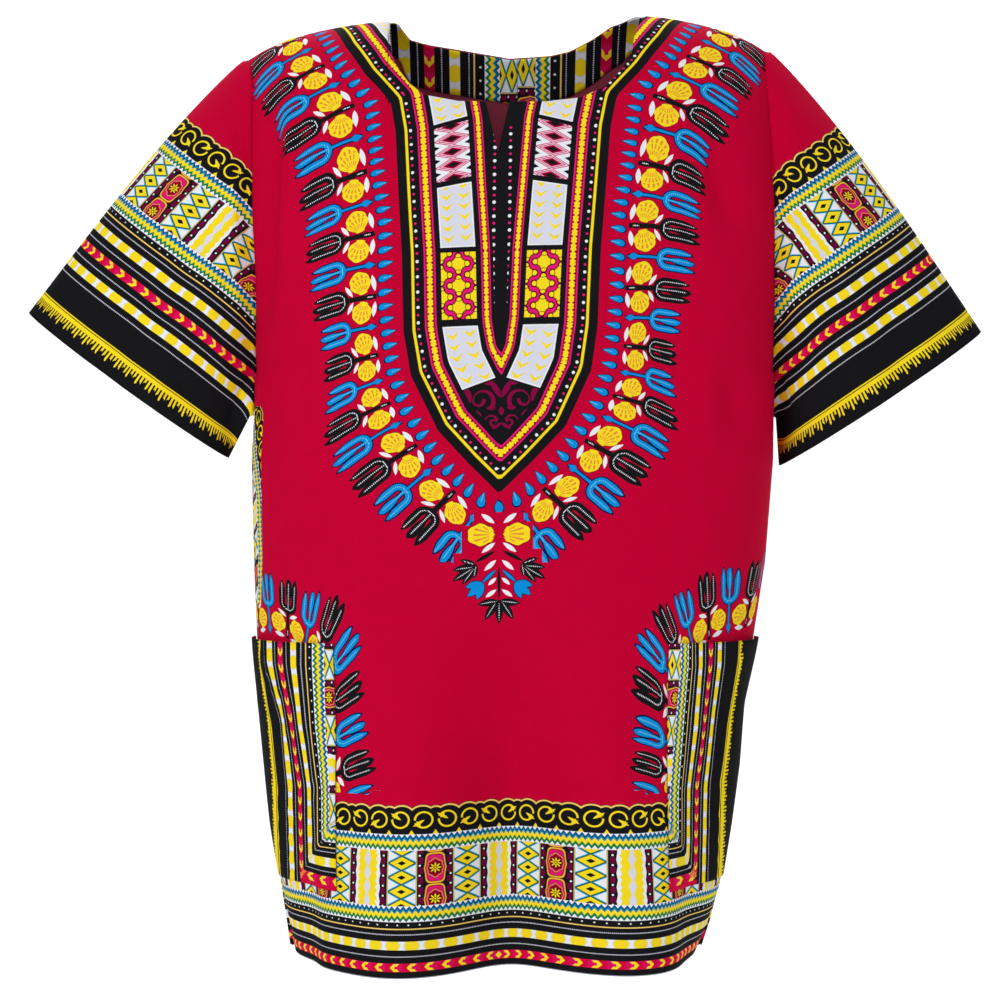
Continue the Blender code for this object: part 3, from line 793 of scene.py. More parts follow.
# %% Ladders of figures round the yoke
# Each row: rung, across and down on the first rail, across and down on the second.
SPRAYS = (
    (-15, 0.0, -166.0, 0.0, -142.0),
    (-14, 26.0, -164.0, 24.0, -140.0),
    (-13, 51.0, -158.0, 45.0, -134.0),
    (-12, 76.0, -152.0, 68.0, -129.0),
    (-11, 101.0, -143.0, 90.0, -121.0),
    (-10, 125.0, -131.0, 111.0, -110.0),
    (-9, 147.0, -116.0, 130.0, -98.0),
    (-8, 167.0, -98.0, 148.0, -83.0),
    (-7, 183.0, -78.0, 160.0, -66.0),
    (-6, 193.0, -55.0, 169.0, -47.0),
    (-5, 198.0, -30.0, 173.0, -26.0),
    (-4, 199.0, -4.0, 174.0, -4.0),
    (-3, 196.0, 22.0, 171.0, 19.0),
    (-2, 189.0, 48.0, 163.0, 44.0),
    (-1, 177.0, 73.0, 150.0, 70.0),
    (0, 163.0, 97.6, 135.4, 93.5),
    (1, 152.1, 125.0, 122.0, 119.0),
    (2, 140.5, 151.3, 114.0, 149.0),
    (3, 136.0, 183.0, 109.5, 181.0),
    (4, 130.5, 208.4, 104.5, 207.0),
    (5, 128.9, 231.9, 102.1, 233.5),
    (6, 126.4, 256.6, 101.2, 258.3),
    (7, 124.5, 281.5, 99.5, 284.0),
    (8, 121.0, 305.9, 99.5, 307.5),
    (9, 118.8, 330.3, 98.0, 330.5),
    (10, 116.4, 353.4, 95.0, 351.0),
    (11, 114.6, 375.2, 89.1, 369.9),
    (12, 106.2, 396.5, 80.8, 386.2),
    (13, 90.5, 417.7, 67.1, 405.5),
    (14, 73.8, 439.7, 55.0, 425.0),
    (15, 52.9, 459.2, 35.5, 443.5),
    (16, 31.5, 479.0, 18.5, 462.0),
    (17, 9.0, 497.0, 1.0, 478.0),
)
# Each row: rung, across and down of the middle, lean in degrees.
DROPS = (
    (-28, 0.0, -134.5, -90.0),
    (-23, 57.0, -127.5, -78.0),
    (-18, 112.0, -106.5, -52.0),
    (-13, 151.5, -67.0, -28.0),
    (-9, 164.5, -22.0, -8.0),
    (-6, 159.0, 12.0, 18.0),
    (0, 134.0, 74.5, 27.0),
    (3, 113.5, 108.5, 24.0),
    (4, 106.0, 121.0, 16.0),
    (7, 102.0, 153.5, 11.0),
    (10, 98.9, 183.2, 10.0),
    (14, 91.8, 225.0, 9.0),
    (20, 90.6, 293.0, 8.0),
    (25, 84.6, 345.0, 12.0),
    (28, 74.2, 376.5, 24.0),
    (32, 48.5, 416.7, 38.0),
    (35, 23.2, 442.0, 56.0),
    (36, 13.5, 450.0, 70.0),
    (37, 0.0, 455.5, 90.0),
    (38, -13.5, 450.0, 110.0),
)
DROP_LENGTH = 13.4
FAR_OFF = 99.0
LADDER_REACH = (-1.8, 2.8)


def cross(a, b):
    return a[..., 0] * b[..., 1] - a[..., 1] * b[..., 0]


def ladder_place(across, down, rungs, first_rail, second_rail):
    """The rung each point is next to, and its share of the way from first rail to second."""
    place = np.stack([across, down], axis=-1)
    rung = np.full(across.shape, FAR_OFF)
    share = np.full(across.shape, FAR_OFF)
    for i in range(len(rungs) - 1):
        side = first_rail[i + 1] - first_rail[i]
        start = second_rail[i] - first_rail[i]
        turn = second_rail[i + 1] - second_rail[i] - side
        offset = place - first_rail[i]
        a = -cross(side, turn)
        b = cross(offset, turn) - cross(side, start)
        c = cross(offset, start)
        root = np.sqrt(np.maximum(b * b - 4.0 * a * c, 0.0))
        for sign in (-1.0, 1.0):
            half = -0.5 * (b + sign * root)
            step = c / np.where(half == 0.0, 1e-9, half)
            stile = start + step[..., None] * turn
            reach = ((offset - step[..., None] * side) * stile).sum(axis=-1)
            reach = reach / np.maximum((stile**2).sum(axis=-1), 1e-9)
            found = (step >= 0.0) & (step <= 1.0) & (np.abs(reach) < np.abs(share))
            found &= (reach > LADDER_REACH[0]) & (reach < LADDER_REACH[1])
            rung = np.where(found, rungs[i] + step * (rungs[i + 1] - rungs[i]), rung)
            share = np.where(found, reach, share)
    return np.stack([rung, share], axis=-1)


def drop_rails():
    """The teardrops' tips and round ends, from their middles and leans."""
    rungs, across, down, lean = np.array(DROPS).T
    half = DROP_LENGTH / 2.0
    lean = np.radians(lean)
    tip = np.stack([across - half * np.cos(lean), down - half * np.sin(lean)], axis=-1)
    end = np.stack([across + half * np.cos(lean), down + half * np.sin(lean)], axis=-1)
    return rungs, tip, end


spray_table = np.array(SPRAYS, float)
spray_rails = (spray_table[:, 0], spray_table[:, 1:3], spray_table[:, 3:5])
spray_places = {face: ladder_place(abs(a), d, *spray_rails) for face, (a, d) in prints.items()}
drop_places = {face: ladder_place(abs(a), d, *drop_rails()) for face, (a, d) in prints.items()}
print("points beside the sprays", int((spray_places["front"][..., 0] < FAR_OFF).sum()))

# %% [markdown]
# ## From grids to pieces of cloth
# Each piece is an open sheet of small faces, and a Solidify modifier turns it into a wall
# about as thick as printed cotton. Every corner of every face carries its places on the
# print as UV maps, so a seam in a tube doesn't blend the first and last columns. A sheet may
# have several finishes: a face takes the first one if any of its corners has it, and
# otherwise the last that a corner has.

# %% Pieces of cloth
CLOTH_THICKNESS = 0.0007


def grid_corners(rows, columns, wrap, turn_over):
    """Row and column of each face's four corners; a tube's last column is one past the end."""
    around = columns if wrap else columns - 1
    row, col = np.meshgrid(np.arange(rows - 1), np.arange(around), indexing="ij")
    row, col = row.ravel(), col.ravel()
    corner_rows = np.stack([row, row, row + 1, row + 1], axis=-1)
    corner_cols = np.stack([col, col + 1, col + 1, col], axis=-1)
    if turn_over:
        corner_rows, corner_cols = corner_rows[:, ::-1], corner_cols[:, ::-1]
    return corner_rows, corner_cols


def cloth_piece(name, grid, maps, finishes, region=None, wrap=False, turn_over=False):
    """A thin sheet through a grid of points, with UV maps and a finish for each region."""
    rows, columns = grid.shape[:2]
    corner_rows, corner_cols = grid_corners(rows, columns, wrap, turn_over)
    mesh = bpy.data.meshes.new(name)
    faces = corner_rows * columns + corner_cols % columns
    mesh.from_pydata(grid.reshape(-1, 3).tolist(), [], faces.tolist())
    for map_name, places_on_print in maps.items():
        layer = mesh.uv_layers.new(name=map_name)
        values = places_on_print[corner_rows, corner_cols].astype(np.float32)
        layer.uv.foreach_set("vector", values.ravel())
    for finish in finishes:
        mesh.materials.append(finish)
    if region is not None:
        found = region[corner_rows, corner_cols]
        finish_index = np.where(found.min(axis=1) == 0, 0, found.max(axis=1))
        mesh.polygons.foreach_set("material_index", finish_index)
    mesh.shade_smooth()
    piece = new_object(name, mesh)
    wall = piece.modifiers.new("wall", "SOLIDIFY")
    wall.thickness = CLOTH_THICKNESS
    wall.offset = -1.0
    wall.material_offset = len(finishes)
    return piece


def stands_for(piece, node):
    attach(piece, "root")
    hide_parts(node)
    return piece


# %% [markdown]
# ## Drawing with values
# A material is a web of small nodes, and a long one is hard to read as boxes and wires. So a
# value on the surface is wrapped in a class, and arithmetic on it adds the nodes: a band is
# the values near its middle, a repeat wraps a value round its pitch, and a mask is 1 inside
# a figure and 0 outside.

# %% A value on the surface


class Value:
    """One socket of a material. Arithmetic on it adds Math nodes to the same material."""

    def __init__(self, tree, socket):
        self.tree = tree
        self.socket = socket

    def node(self, kind, settings, inputs, output=0):
        """Adds any node: its settings first, then its sockets' values or links."""
        made = self.tree.nodes.new(kind)
        for name, setting in settings.items():
            if name == "stops":
                set_stops(made.color_ramp, setting)
            else:
                setattr(made, name, setting)
        for name, value in inputs.items():
            if isinstance(value, Value):
                self.tree.links.new(value.socket, made.inputs[name])
            else:
                made.inputs[name].default_value = value
        return Value(self.tree, made.outputs[output])

    def math(self, operation, *others):
        settings = {"operation": operation}
        return self.node("ShaderNodeMath", settings, dict(enumerate((self, *others))))

    def __add__(self, other):
        return self.math("ADD", other)

    __radd__ = __add__

    def __mul__(self, other):
        return self.math("MULTIPLY", other)

    __rmul__ = __mul__

    def __sub__(self, other):
        return self.math("SUBTRACT", other)

    def __rsub__(self, other):
        return self.node("ShaderNodeMath", {"operation": "SUBTRACT"}, {0: other, 1: self})

    def __truediv__(self, other):
        return self.math("DIVIDE", other)

    def __pow__(self, other):
        return self.math("POWER", other)

    def __abs__(self):
        return self.math("ABSOLUTE")

    def __lt__(self, other):
        return self.math("LESS_THAN", other)

    def __gt__(self, other):
        return self.math("GREATER_THAN", other)

    def __and__(self, other):
        return self.math("MINIMUM", other)

    def __or__(self, other):
        return self.math("MAXIMUM", other)

    def near(self, middle, half):
        """1 within half of middle."""
        return self.math("COMPARE", middle, half)

    def every(self, pitch, phase=0.0):
        """Wraps the value to within half a pitch of nothing, each pitch along."""
        shifted = self - phase if phase else self
        return shifted.math("WRAP", pitch / 2.0, -pitch / 2.0)

    def mirrored(self, pitch):
        """Goes from 0 up to half a pitch and back."""
        return self.math("PINGPONG", pitch / 2.0)

    def within(self, low, high):
        return self.near((low + high) / 2.0, (high - low) / 2.0)


def set_stops(ramp, stops):
    """Steps of one colour each along a ramp from 0 to 1."""
    ramp.interpolation = "CONSTANT"
    ramp.elements.remove(ramp.elements[1])
    ramp.elements[0].position = 0.0
    ramp.elements[0].color = (*stops[0][1], 1.0)
    for position, colour in stops[1:]:
        ramp.elements.new(position).color = (*colour, 1.0)


def hypot(a, b):
    return (a * a + b * b).math("SQRT")


def colour_of(red, green, blue):
    """A display colour, 0 to 255, as the linear colour that a shader wants."""
    shares = [part / 255.0 for part in (red, green, blue)]
    return tuple(s / 12.92 if s <= 0.04045 else ((s + 0.055) / 1.055) ** 2.4 for s in shares)


CRIMSON = colour_of(200, 0, 52)
BLACK = colour_of(24, 24, 27)
NAVY = colour_of(8, 22, 70)
BLUE = colour_of(12, 145, 222)
PALE_BLUE = colour_of(120, 210, 245)
WHITE = colour_of(240, 243, 250)
PALE_GREY = colour_of(222, 224, 240)
YELLOW = colour_of(255, 226, 36)
GOLD = colour_of(240, 190, 60)
ORANGE = colour_of(238, 140, 60)
OLIVE = colour_of(112, 92, 8)
MAROON = colour_of(96, 4, 26)
MAGENTA = colour_of(214, 8, 108)
PINK = colour_of(238, 24, 126)
DARK_RED = colour_of(150, 4, 40)
PLUM = colour_of(110, 10, 60)
PURPLE = colour_of(140, 8, 66)
GREEN = colour_of(10, 140, 80)
DARK_GREEN = colour_of(0, 80, 50)
TEAL = colour_of(10, 140, 180)
DEEP_BLUE = colour_of(0, 76, 140)
print("crimson in linear light", tuple(round(c, 4) for c in CRIMSON))

# %% [markdown]
# ## Printed cotton
# The cloth is plain-weave cotton of middle weight. The dye sinks in, so the print has no
# thickness of its own: colour changes, and the threads stay the same. The threads are sine
# waves across and down, one over the other, as a bump. The same waves paint a faint shade
# into the colour too, lighter on the threads' crowns and darker in the dips between them.
# The ground colour clouds very slightly, as dyed cotton does.

# %% The finish that all prints share
THREAD_PITCH = 0.55
THREAD_HEIGHT = 0.00006
# Painted shade: how much the weave darkens the colour in its dips and lightens it on its crowns.
THREAD_PAINTED_SHADE = 0.02
CLOUD_SCALE = 0.06
CLOUD_DEPTH = 0.10
CLOTH_ROUGHNESS = 0.78
CLOTH_GLOSS = 0.03


class Print:
    """The colour of one printed cloth while it is being drawn, one layer on another."""

    def __init__(self, name, ground, thread_map):
        self.material = bpy.data.materials.new(name)
        self.material.use_nodes = True
        self.tree = self.material.node_tree
        self.shader = self.tree.nodes["Principled BSDF"]
        self.start = Value(self.tree, None)
        self.colour = (*ground, 1.0)
        self.thread_map = thread_map

    def map(self, name):
        """Both lengths of a UV map."""
        places_on_print = self.start.node("ShaderNodeUVMap", {"uv_map": name}, {})
        across = self.start.node("ShaderNodeSeparateXYZ", {}, {0: places_on_print}, "X")
        return across, Value(self.tree, across.socket.node.outputs["Y"])

    def fill(self, mask, colour):
        """Colours what the mask covers."""
        if not isinstance(colour, Value):
            colour = (*colour, 1.0)
        inputs = {0: mask, 6: self.colour, 7: colour}
        self.colour = self.start.node("ShaderNodeMix", {"data_type": "RGBA"}, inputs, 2)

    def choose(self, mask, outside, inside):
        """One of two colours by a mask."""
        inputs = {0: mask, 6: (*outside, 1.0), 7: (*inside, 1.0)}
        return self.start.node("ShaderNodeMix", {"data_type": "RGBA"}, inputs, 2)

    def finish(self):
        """Lays the drawn colour on woven threads, with a faint painted shade of the weave."""
        across, down = self.map(self.thread_map)
        turn = 2.0 * math.pi / THREAD_PITCH
        weave = (across * turn).math("SINE") * (down * turn).math("SINE")
        place = self.start.node("ShaderNodeCombineXYZ", {}, {0: across, 1: down})
        clouding = {"Vector": place, "Scale": CLOUD_SCALE, "Detail": 3.0}
        cloud = self.start.node("ShaderNodeTexNoise", {}, clouding)
        # Painted shade from the weave, on top of the dye's own clouding.
        cloud_and_painted_shade = cloud.math("MULTIPLY_ADD", CLOUD_DEPTH, 0.93) + weave * THREAD_PAINTED_SHADE
        grey = self.start.node("ShaderNodeCombineXYZ", {}, {0: cloud_and_painted_shade, 1: cloud_and_painted_shade, 2: cloud_and_painted_shade})
        inputs = {0: 1.0, 6: self.colour, 7: grey}
        mixing = {"data_type": "RGBA", "blend_type": "MULTIPLY"}
        clouded_and_shaded_colour = self.start.node("ShaderNodeMix", mixing, inputs, 2)
        threads = {"Height": weave, "Strength": 0.35, "Distance": THREAD_HEIGHT}
        bump = self.start.node("ShaderNodeBump", {}, threads)
        self.tree.links.new(clouded_and_shaded_colour.socket, self.shader.inputs["Base Color"])
        self.tree.links.new(bump.socket, self.shader.inputs["Normal"])
        self.shader.inputs["Roughness"].default_value = CLOTH_ROUGHNESS
        self.shader.inputs["Specular IOR Level"].default_value = CLOTH_GLOSS
        return self.material


def plain_cloth(name, colour, thread_map):
    return Print(name, colour, thread_map).finish()


red_cloth = plain_cloth("crimson cotton", CRIMSON, "cloth")

# %% [markdown]
# ## The yoke
# The yoke is the showpiece of such a shirt: a shield of black with a thin yellow line, rows
# of dots and two braids, and a column of small panels down each side. Everything is drawn
# from the depth inside the outline, so the bands keep their widths round the point.

# %% Bands of the yoke


def dots(along, offset, pitch, radius, phase=0.0):
    """A row of round dots: offset is the distance from the row's own line."""
    return hypot(along.every(pitch, phase), offset) < radius


def braid(cloth, depth, along, middle, half):
    """A pink band whose yellow middle has saw teeth and a scalloped dark edge."""
    offset = abs(depth - middle) * (3.75 / half)
    edge = along.mirrored(2.9) * 0.75 + along.mirrored(5.8) * 0.3 + 0.55
    cloth.fill(offset < 3.75, PINK)
    cloth.fill(offset < 2.65, DARK_RED)
    cloth.fill(offset < edge, YELLOW)


def chevron_panel(cloth, mask, across, down):
    """White cloth with two columns of yellow swooshes, thick in the middle."""
    cloth.fill(mask, PALE_GREY)
    column_offset = abs(across.every(13.8, 6.9))
    crest = down.every(8.6) + column_offset * 0.8
    arm = (5.8 - column_offset) * 0.31
    cloth.fill(mask & (abs(crest - 2.6) < arm), YELLOW)


def lobed_flower(across, down, size):
    """Distance out of a yellow flower with eight shallow lobes."""
    reach = hypot(across, down)
    lobes = (down.math("ARCTAN2", across) * 8.0).math("COSINE")
    return reach - size + lobes * 0.35


def flower_panel(cloth, mask, across, down):
    """Yellow lobed flowers on pink, set like bricks, each with four half moons round it."""
    cloth.fill(mask, PINK)
    for shift_across, shift_down in ((0.0, 0.0), (13.9, 8.9)):
        x = abs(across.every(27.8, shift_across))
        y = abs(down.every(17.4, shift_down))
        moon = (hypot(x, y - 6.0) - 1.9) & (hypot(x - 6.8, y) - 2.0)
        flower = lobed_flower(x, y, 4.9)
        both = flower & moon
        cloth.fill(mask & (both < 1.1), MAROON)
        cloth.fill(mask & (moon < 0.0), YELLOW)
        cloth.fill(mask & (flower < 0.65), OLIVE)
        cloth.fill(mask & (flower < 0.0), YELLOW)


def lattice_panel(cloth, mask, across, down):
    """Pink lines crossing on white, with a dark diamond in every mesh."""
    cloth.fill(mask, WHITE)
    slope = abs(across) / 13.2 + abs(down.every(11.3)) / 5.65
    ring = abs(slope - 0.95)
    cloth.fill(mask & (ring < 0.20), MAGENTA)
    cloth.fill(mask & (ring < 0.05), WHITE)
    for reach, colour in ((0.68, MAGENTA), (0.54, DARK_RED), (0.40, BLACK)):
        cloth.fill(mask & (slope < reach), colour)
    notch = (13.75 - abs(across)) < down.mirrored(11.3) * 2.2 - 8.4
    cloth.fill(mask & notch, BLACK)


# Each row: across, down, radius, stroke, swell and its direction, cut direction and place.
SCROLLS = (
    (14.3, 373.2, 8.0, 2.0, 1.3, 170.0, 65.0, 4.0),
    (18.0, 372.3, 4.2, 1.9, 0.7, 180.0, -90.0, 0.8),
    (8.2, 389.4, 4.8, 1.3, 0.6, 180.0, 150.0, 4.0),
    (6.2, 390.2, 2.2, 1.3, 0.4, 0.0, 150.0, 1.2),
)
# Each row: across and down of the middle, half length, half width, angle in degrees.
SCROLL_LEAVES = (
    (4.2, 363.6, 8.2, 2.2, 120.0),
    (10.4, 358.6, 5.2, 2.0, 165.0),
    (26.6, 367.6, 7.0, 3.0, 110.0),
    (18.8, 384.4, 6.0, 2.8, 125.0),
    (8.0, 378.6, 3.6, 1.5, 0.0),
    (0.0, 381.2, 3.4, 2.0, 90.0),
    (3.4, 392.8, 4.6, 1.2, 35.0),
    (5.0, 405.0, 7.4, 0.9, 132.0),
)


def leaf(x, y, middle_x, middle_y, half_length, half_width, angle):
    """1 inside a spindle leaf whose middle and direction are given."""
    cosine, sine = math.cos(math.radians(angle)), math.sin(math.radians(angle))
    along = (x - middle_x) * cosine + (y - middle_y) * sine
    aside = abs((y - middle_y) * cosine - (x - middle_x) * sine)
    return aside < half_width - along * along * (half_width / half_length**2)


def scroll_panel(cloth, mask, across, down):
    """Pink scrolls and leaves on black in the point of the shield, the same on both sides."""
    x = abs(across)
    figures = None
    for middle_x, middle_y, radius, stroke, swell, toward, cut, cut_at in SCROLLS:
        v_x, v_y = x - middle_x, down - middle_y
        lean = v_x * math.cos(math.radians(toward)) + v_y * math.sin(math.radians(toward))
        width = lean * (swell / radius) + stroke
        off = v_x * math.cos(math.radians(cut)) + v_y * math.sin(math.radians(cut))
        curl = (abs(hypot(v_x, v_y) - radius) < width * 0.5) & (off < cut_at)
        figures = curl if figures is None else figures | curl
    for place in SCROLL_LEAVES:
        figures = figures | leaf(x, down, *place)
    cloth.fill(mask & figures, PURPLE)


# Depths inside the outline, in mm.
YELLOW_LINE_DEPTH = 8.35
DOT_LINE_DEPTH = 12.0
DOT_PITCH = 12.2
OUTER_BRAID = (21.8, 4.6)
PANELS_DEPTH = (30.7, 58.2)
PANEL_RIM = 1.1
SCROLLS_DEPTH = (31.5, 61.0)
SCROLLS_TOP, SCROLLS_SLANT = 360.5, 0.32
INNER_BRAID = (66.0, 3.6)
MIDDLE_DEPTH = 72.0
SLIT_DOTS_ACROSS = 6.2
SLIT_DOTS_DOWN = (150.0, 352.0)
SLIT_DOT_PITCH = 11.6
# Each row: top and its slant, bottom and its slant, the figures inside.
PANELS = (
    (-90.0, 0.0, 143.0, 0.26, chevron_panel),
    (146.7, 0.26, 194.5, 0.16, lattice_panel),
    (199.0, 0.16, 250.5, 0.0, chevron_panel),
    (254.5, 0.0, 308.0, 0.0, flower_panel),
    (313.6, 0.0, 359.3, 0.32, chevron_panel),
)


def draw_panels(cloth, depth, side, down):
    """The column of panels: side is the distance from its middle line."""
    low, high = PANELS_DEPTH
    for top, top_slant, bottom, bottom_slant, panel in PANELS:
        below = down + side * top_slant - top
        above = bottom - down - side * bottom_slant
        mask = depth.within(low, high) & (below > 0.0) & (above > 0.0)
        if panel is chevron_panel:
            cloth.fill(mask, WHITE)
            mask = depth.within(low + PANEL_RIM, high - PANEL_RIM)
            mask = mask & (below > PANEL_RIM) & (above > PANEL_RIM)
        slant = (top_slant + bottom_slant) / 2.0
        panel(cloth, mask, side, down + side * slant - (top + bottom) / 2.0)


def yoke_cloth():
    cloth = Print("yoke print", CRIMSON, "cloth")
    across, down = cloth.map("cloth")
    depth, along = cloth.map("yoke")
    cloth.fill(depth > 0.0, BLACK)
    cloth.fill(depth.near(YELLOW_LINE_DEPTH, 1.35), OLIVE)
    cloth.fill(depth.near(YELLOW_LINE_DEPTH, 1.05), YELLOW)
    cloth.fill(dots(along, depth - DOT_LINE_DEPTH, DOT_PITCH, 1.25, 3.5), WHITE)
    cloth.fill(dots(along, depth - DOT_LINE_DEPTH, DOT_PITCH, 1.0, 9.6), PINK)
    side = depth - sum(PANELS_DEPTH) / 2.0
    draw_panels(cloth, depth, side, down)
    scrolls = (down + side * SCROLLS_SLANT > SCROLLS_TOP) & depth.within(*SCROLLS_DEPTH)
    scroll_panel(cloth, scrolls, across, down)
    braid(cloth, depth, along, *OUTER_BRAID)
    braid(cloth, depth, along, *INNER_BRAID)
    aside = abs(abs(across) - SLIT_DOTS_ACROSS)
    middle = (depth > MIDDLE_DEPTH) & down.within(*SLIT_DOTS_DOWN)
    cloth.fill(middle & dots(down, aside, SLIT_DOT_PITCH, 1.4, SLIT_DOT_PITCH / 2.0), WHITE)
    cloth.fill(middle & dots(down, aside, SLIT_DOT_PITCH, 1.1), PINK)
    return cloth.finish()


yoke_print = yoke_cloth()
print("yoke nodes", len(yoke_print.node_tree.nodes))

# %% [markdown]
# ## Sprays and teardrops
# Both rows are drawn in the ladders' own places. In the spray ladder blue and black sprays
# take turns. A spray is a fork: two outer prongs that meet in a U, a middle prong and a
# stem. One distance gives the whole fork, so its outline keeps an even width.

# %% The rows of figures
RUNG_PITCH = 24.1
STEM_LENGTH = 23.7
DROP_PITCH = 11.2


def fork(a, b):
    """Distance out of a three-pronged fork: a is aside, b is out along the prongs."""
    curve = abs(hypot(a, (b - 6.4) & 0.0) - 6.4)
    taper = (((a * 0.25 + 25.0 - b) / 8.0) & 1.0) | 0.0
    prongs = curve - taper**0.6 * 2.25
    prongs = prongs | (b - 25.5 - a * 0.25)
    swell = 1.0 - abs((b - 18.0) / 9.5) ** 2.0
    middle = abs(a - (b | 0.0) * 0.02) - (swell | 0.0) * 1.3 - 1.0
    middle = middle | (b - 26.5 + abs(a))
    middle = middle | (-24.0 - b)
    return prongs, middle


def draw_sprays(cloth, rung, share, shown, last_flower=FAR_OFF):
    """Sprays on the rungs and a flower between each two, up to the last flower's rung."""
    a = (rung - rung.math("ROUND")) * RUNG_PITCH
    b = share * -STEM_LENGTH
    is_black = rung.math("ROUND").mirrored(2.0)
    f = (rung + 1.0).mirrored(2.0) * RUNG_PITCH
    apex_f, apex_b, tilt = 3.0, -15.0, math.radians(15.0)
    along = (f - apex_f) * math.cos(tilt) + (b - apex_b) * math.sin(tilt)
    aside = (b - apex_b) * math.cos(tilt) - (f - apex_f) * math.sin(tilt)
    reach = hypot(along, aside)
    turn = aside.math("ARCTAN2", along)
    scallops = abs((turn * 7.0).math("COSINE")) - 0.4
    half = ((along / 17.5 * 0.82 + 0.07) * math.pi).math("SINE") * 8.0 + scallops
    fan = (abs(aside) - half) | (reach - 17.2 - scallops) | (0.0 - along)
    flowers = shown & (rung < last_flower)
    cloth.fill(flowers & (fan < 0.7), DARK_RED)
    cloth.fill(flowers & (fan < 0.0), YELLOW)
    veins = ((turn * 24.0).math("SINE") > 0.3) & ((reach * 1.5).math("SINE") > -0.75)
    cloth.fill(flowers & (fan < -1.9) & (reach > 3.5) & veins, ORANGE)
    inner_leaf = leaf(f, b, 10.2, -23.0, 6.2, 1.9, 8.0)
    outer_leaf = leaf(f, b, 6.5, -3.7, 5.2, 1.5, 32.0)
    cloth.fill(flowers & (inner_leaf | outer_leaf), WHITE)
    prongs, middle = fork(a, b)
    blue_end = abs(a) * 1.75 + abs(b + 20.2) - 4.9
    black_end = abs(a) * 2.4 + abs(b + 19.6) - 5.2
    end = blue_end * (1.0 - is_black) + black_end * is_black
    whole = prongs & middle & end
    outline = cloth.choose(is_black, NAVY, BLACK)
    body = cloth.choose(is_black, BLUE, BLACK)
    thread = cloth.choose(is_black, PALE_BLUE, WHITE)
    cloth.fill(shown & (whole < 0.95), outline)
    cloth.fill(shown & (whole < 0.0), body)
    centre = abs(hypot(a, (b - 6.4) & 0.0) - 6.4) & (abs(a) | (1.0 - b))
    stitched = (centre < 0.42) & (b > -0.2) & (b < 23.0)
    beads = (b * 4.4).math("SINE") > 0.0
    cloth.fill(shown & stitched & beads & (whole < -0.3), thread)
    dashes = (abs(a) < 0.45) & b.within(-22.0, -17.6) & ((b * 3.9).math("SINE") > -0.5)
    cloth.fill(shown & dashes & is_black, WHITE)


def draw_drops(cloth, rung, share, shown):
    """Blue teardrops with a dark edge, each with a line of light stitches."""
    a = abs(rung - rung.math("ROUND")) * DROP_PITCH
    out = share * DROP_LENGTH

    def half_width(start, length, widest):
        x = (out - start) / length
        return (x | 0.0) ** 1.29 * ((1.0 - x) | 0.0) ** 0.5 * (widest / 0.346)

    cloth.fill(shown & (a < half_width(-0.7, DROP_LENGTH + 1.3, 3.3)), NAVY)
    cloth.fill(shown & (a < half_width(0.6, DROP_LENGTH - 1.1, 2.6)), BLUE)
    light = (a < 0.42) & out.within(2.4, 9.0) & ((share * 66.0).math("SINE") > -0.3)
    cloth.fill(shown & light, PALE_BLUE)


def ring_cloth():
    cloth = Print("spray print", CRIMSON, "cloth")
    rung, share = cloth.map("sprays")
    shown = (rung < 16.5) & share.within(-1.25, 1.25)
    draw_sprays(cloth, rung, share, shown, 16.0)
    rung, share = cloth.map("drops")
    draw_drops(cloth, rung, share, share.within(-0.15, 1.15))
    return cloth.finish()


ring_print = ring_cloth()
print("spray nodes", len(ring_print.node_tree.nodes))

# %% [markdown]
# ## The border
# The same border runs along the hem, both sleeves, the pockets and the neck facing, because
# all are cut from one printed cloth. Its height is counted from the hem's edge and its
# length from the middle of the front, where the print turns round and mirrors itself.

# %% Stripes of the border
TAN = colour_of(205, 182, 112)
SALMON = colour_of(240, 120, 110)
ROSE = colour_of(216, 6, 66)
DARK_BROWN = colour_of(70, 10, 12)
PALE_GOLD = colour_of(250, 214, 110)
DULL_GOLD = colour_of(246, 208, 112)
TOOTH_PITCH = 4.0
TOOTH_HEIGHT = 2.8
ZIGZAG_HEIGHT = 12.6
ZIGZAG_SPAN = 16.0
ZIGZAG_STOPS = (
    (0.0, WHITE), (2.9, DARK_GREEN), (3.8, GREEN), (5.6, YELLOW), (9.1, TEAL), (10.9, DEEP_BLUE),
    (12.7, WHITE),
)
STRIPE_HALF = 3.4


def zigzag(cloth, along, above):
    """White teeth, and between them green, yellow and blue stripes that follow the teeth."""
    tooth = along.mirrored(TOOTH_PITCH) * (TOOTH_HEIGHT * 2.0 / TOOTH_PITCH)
    level = (above - tooth + TOOTH_HEIGHT) / ZIGZAG_SPAN
    stops = [(place / ZIGZAG_SPAN, colour) for place, colour in ZIGZAG_STOPS]
    stripes = cloth.start.node("ShaderNodeValToRGB", {"stops": stops}, {0: level})
    cloth.fill(above.within(0.0, ZIGZAG_HEIGHT), stripes)


def beaded_line(cloth, along, above):
    beads = (along * 5.2).math("SINE") > -0.35
    cloth.fill(above.near(0.0, 0.42) & beads, PALE_GREY)


def yellow_stripe(cloth, along, above):
    """Round-ended yellow blocks on white."""
    band = above.near(0.0, STRIPE_HALF)
    cloth.fill(band, WHITE)
    block = abs(along.every(12.9)) + above * above * 0.12
    cloth.fill(band & (block < 5.4), PALE_GREY)
    cloth.fill(band & (block < 4.8), YELLOW)


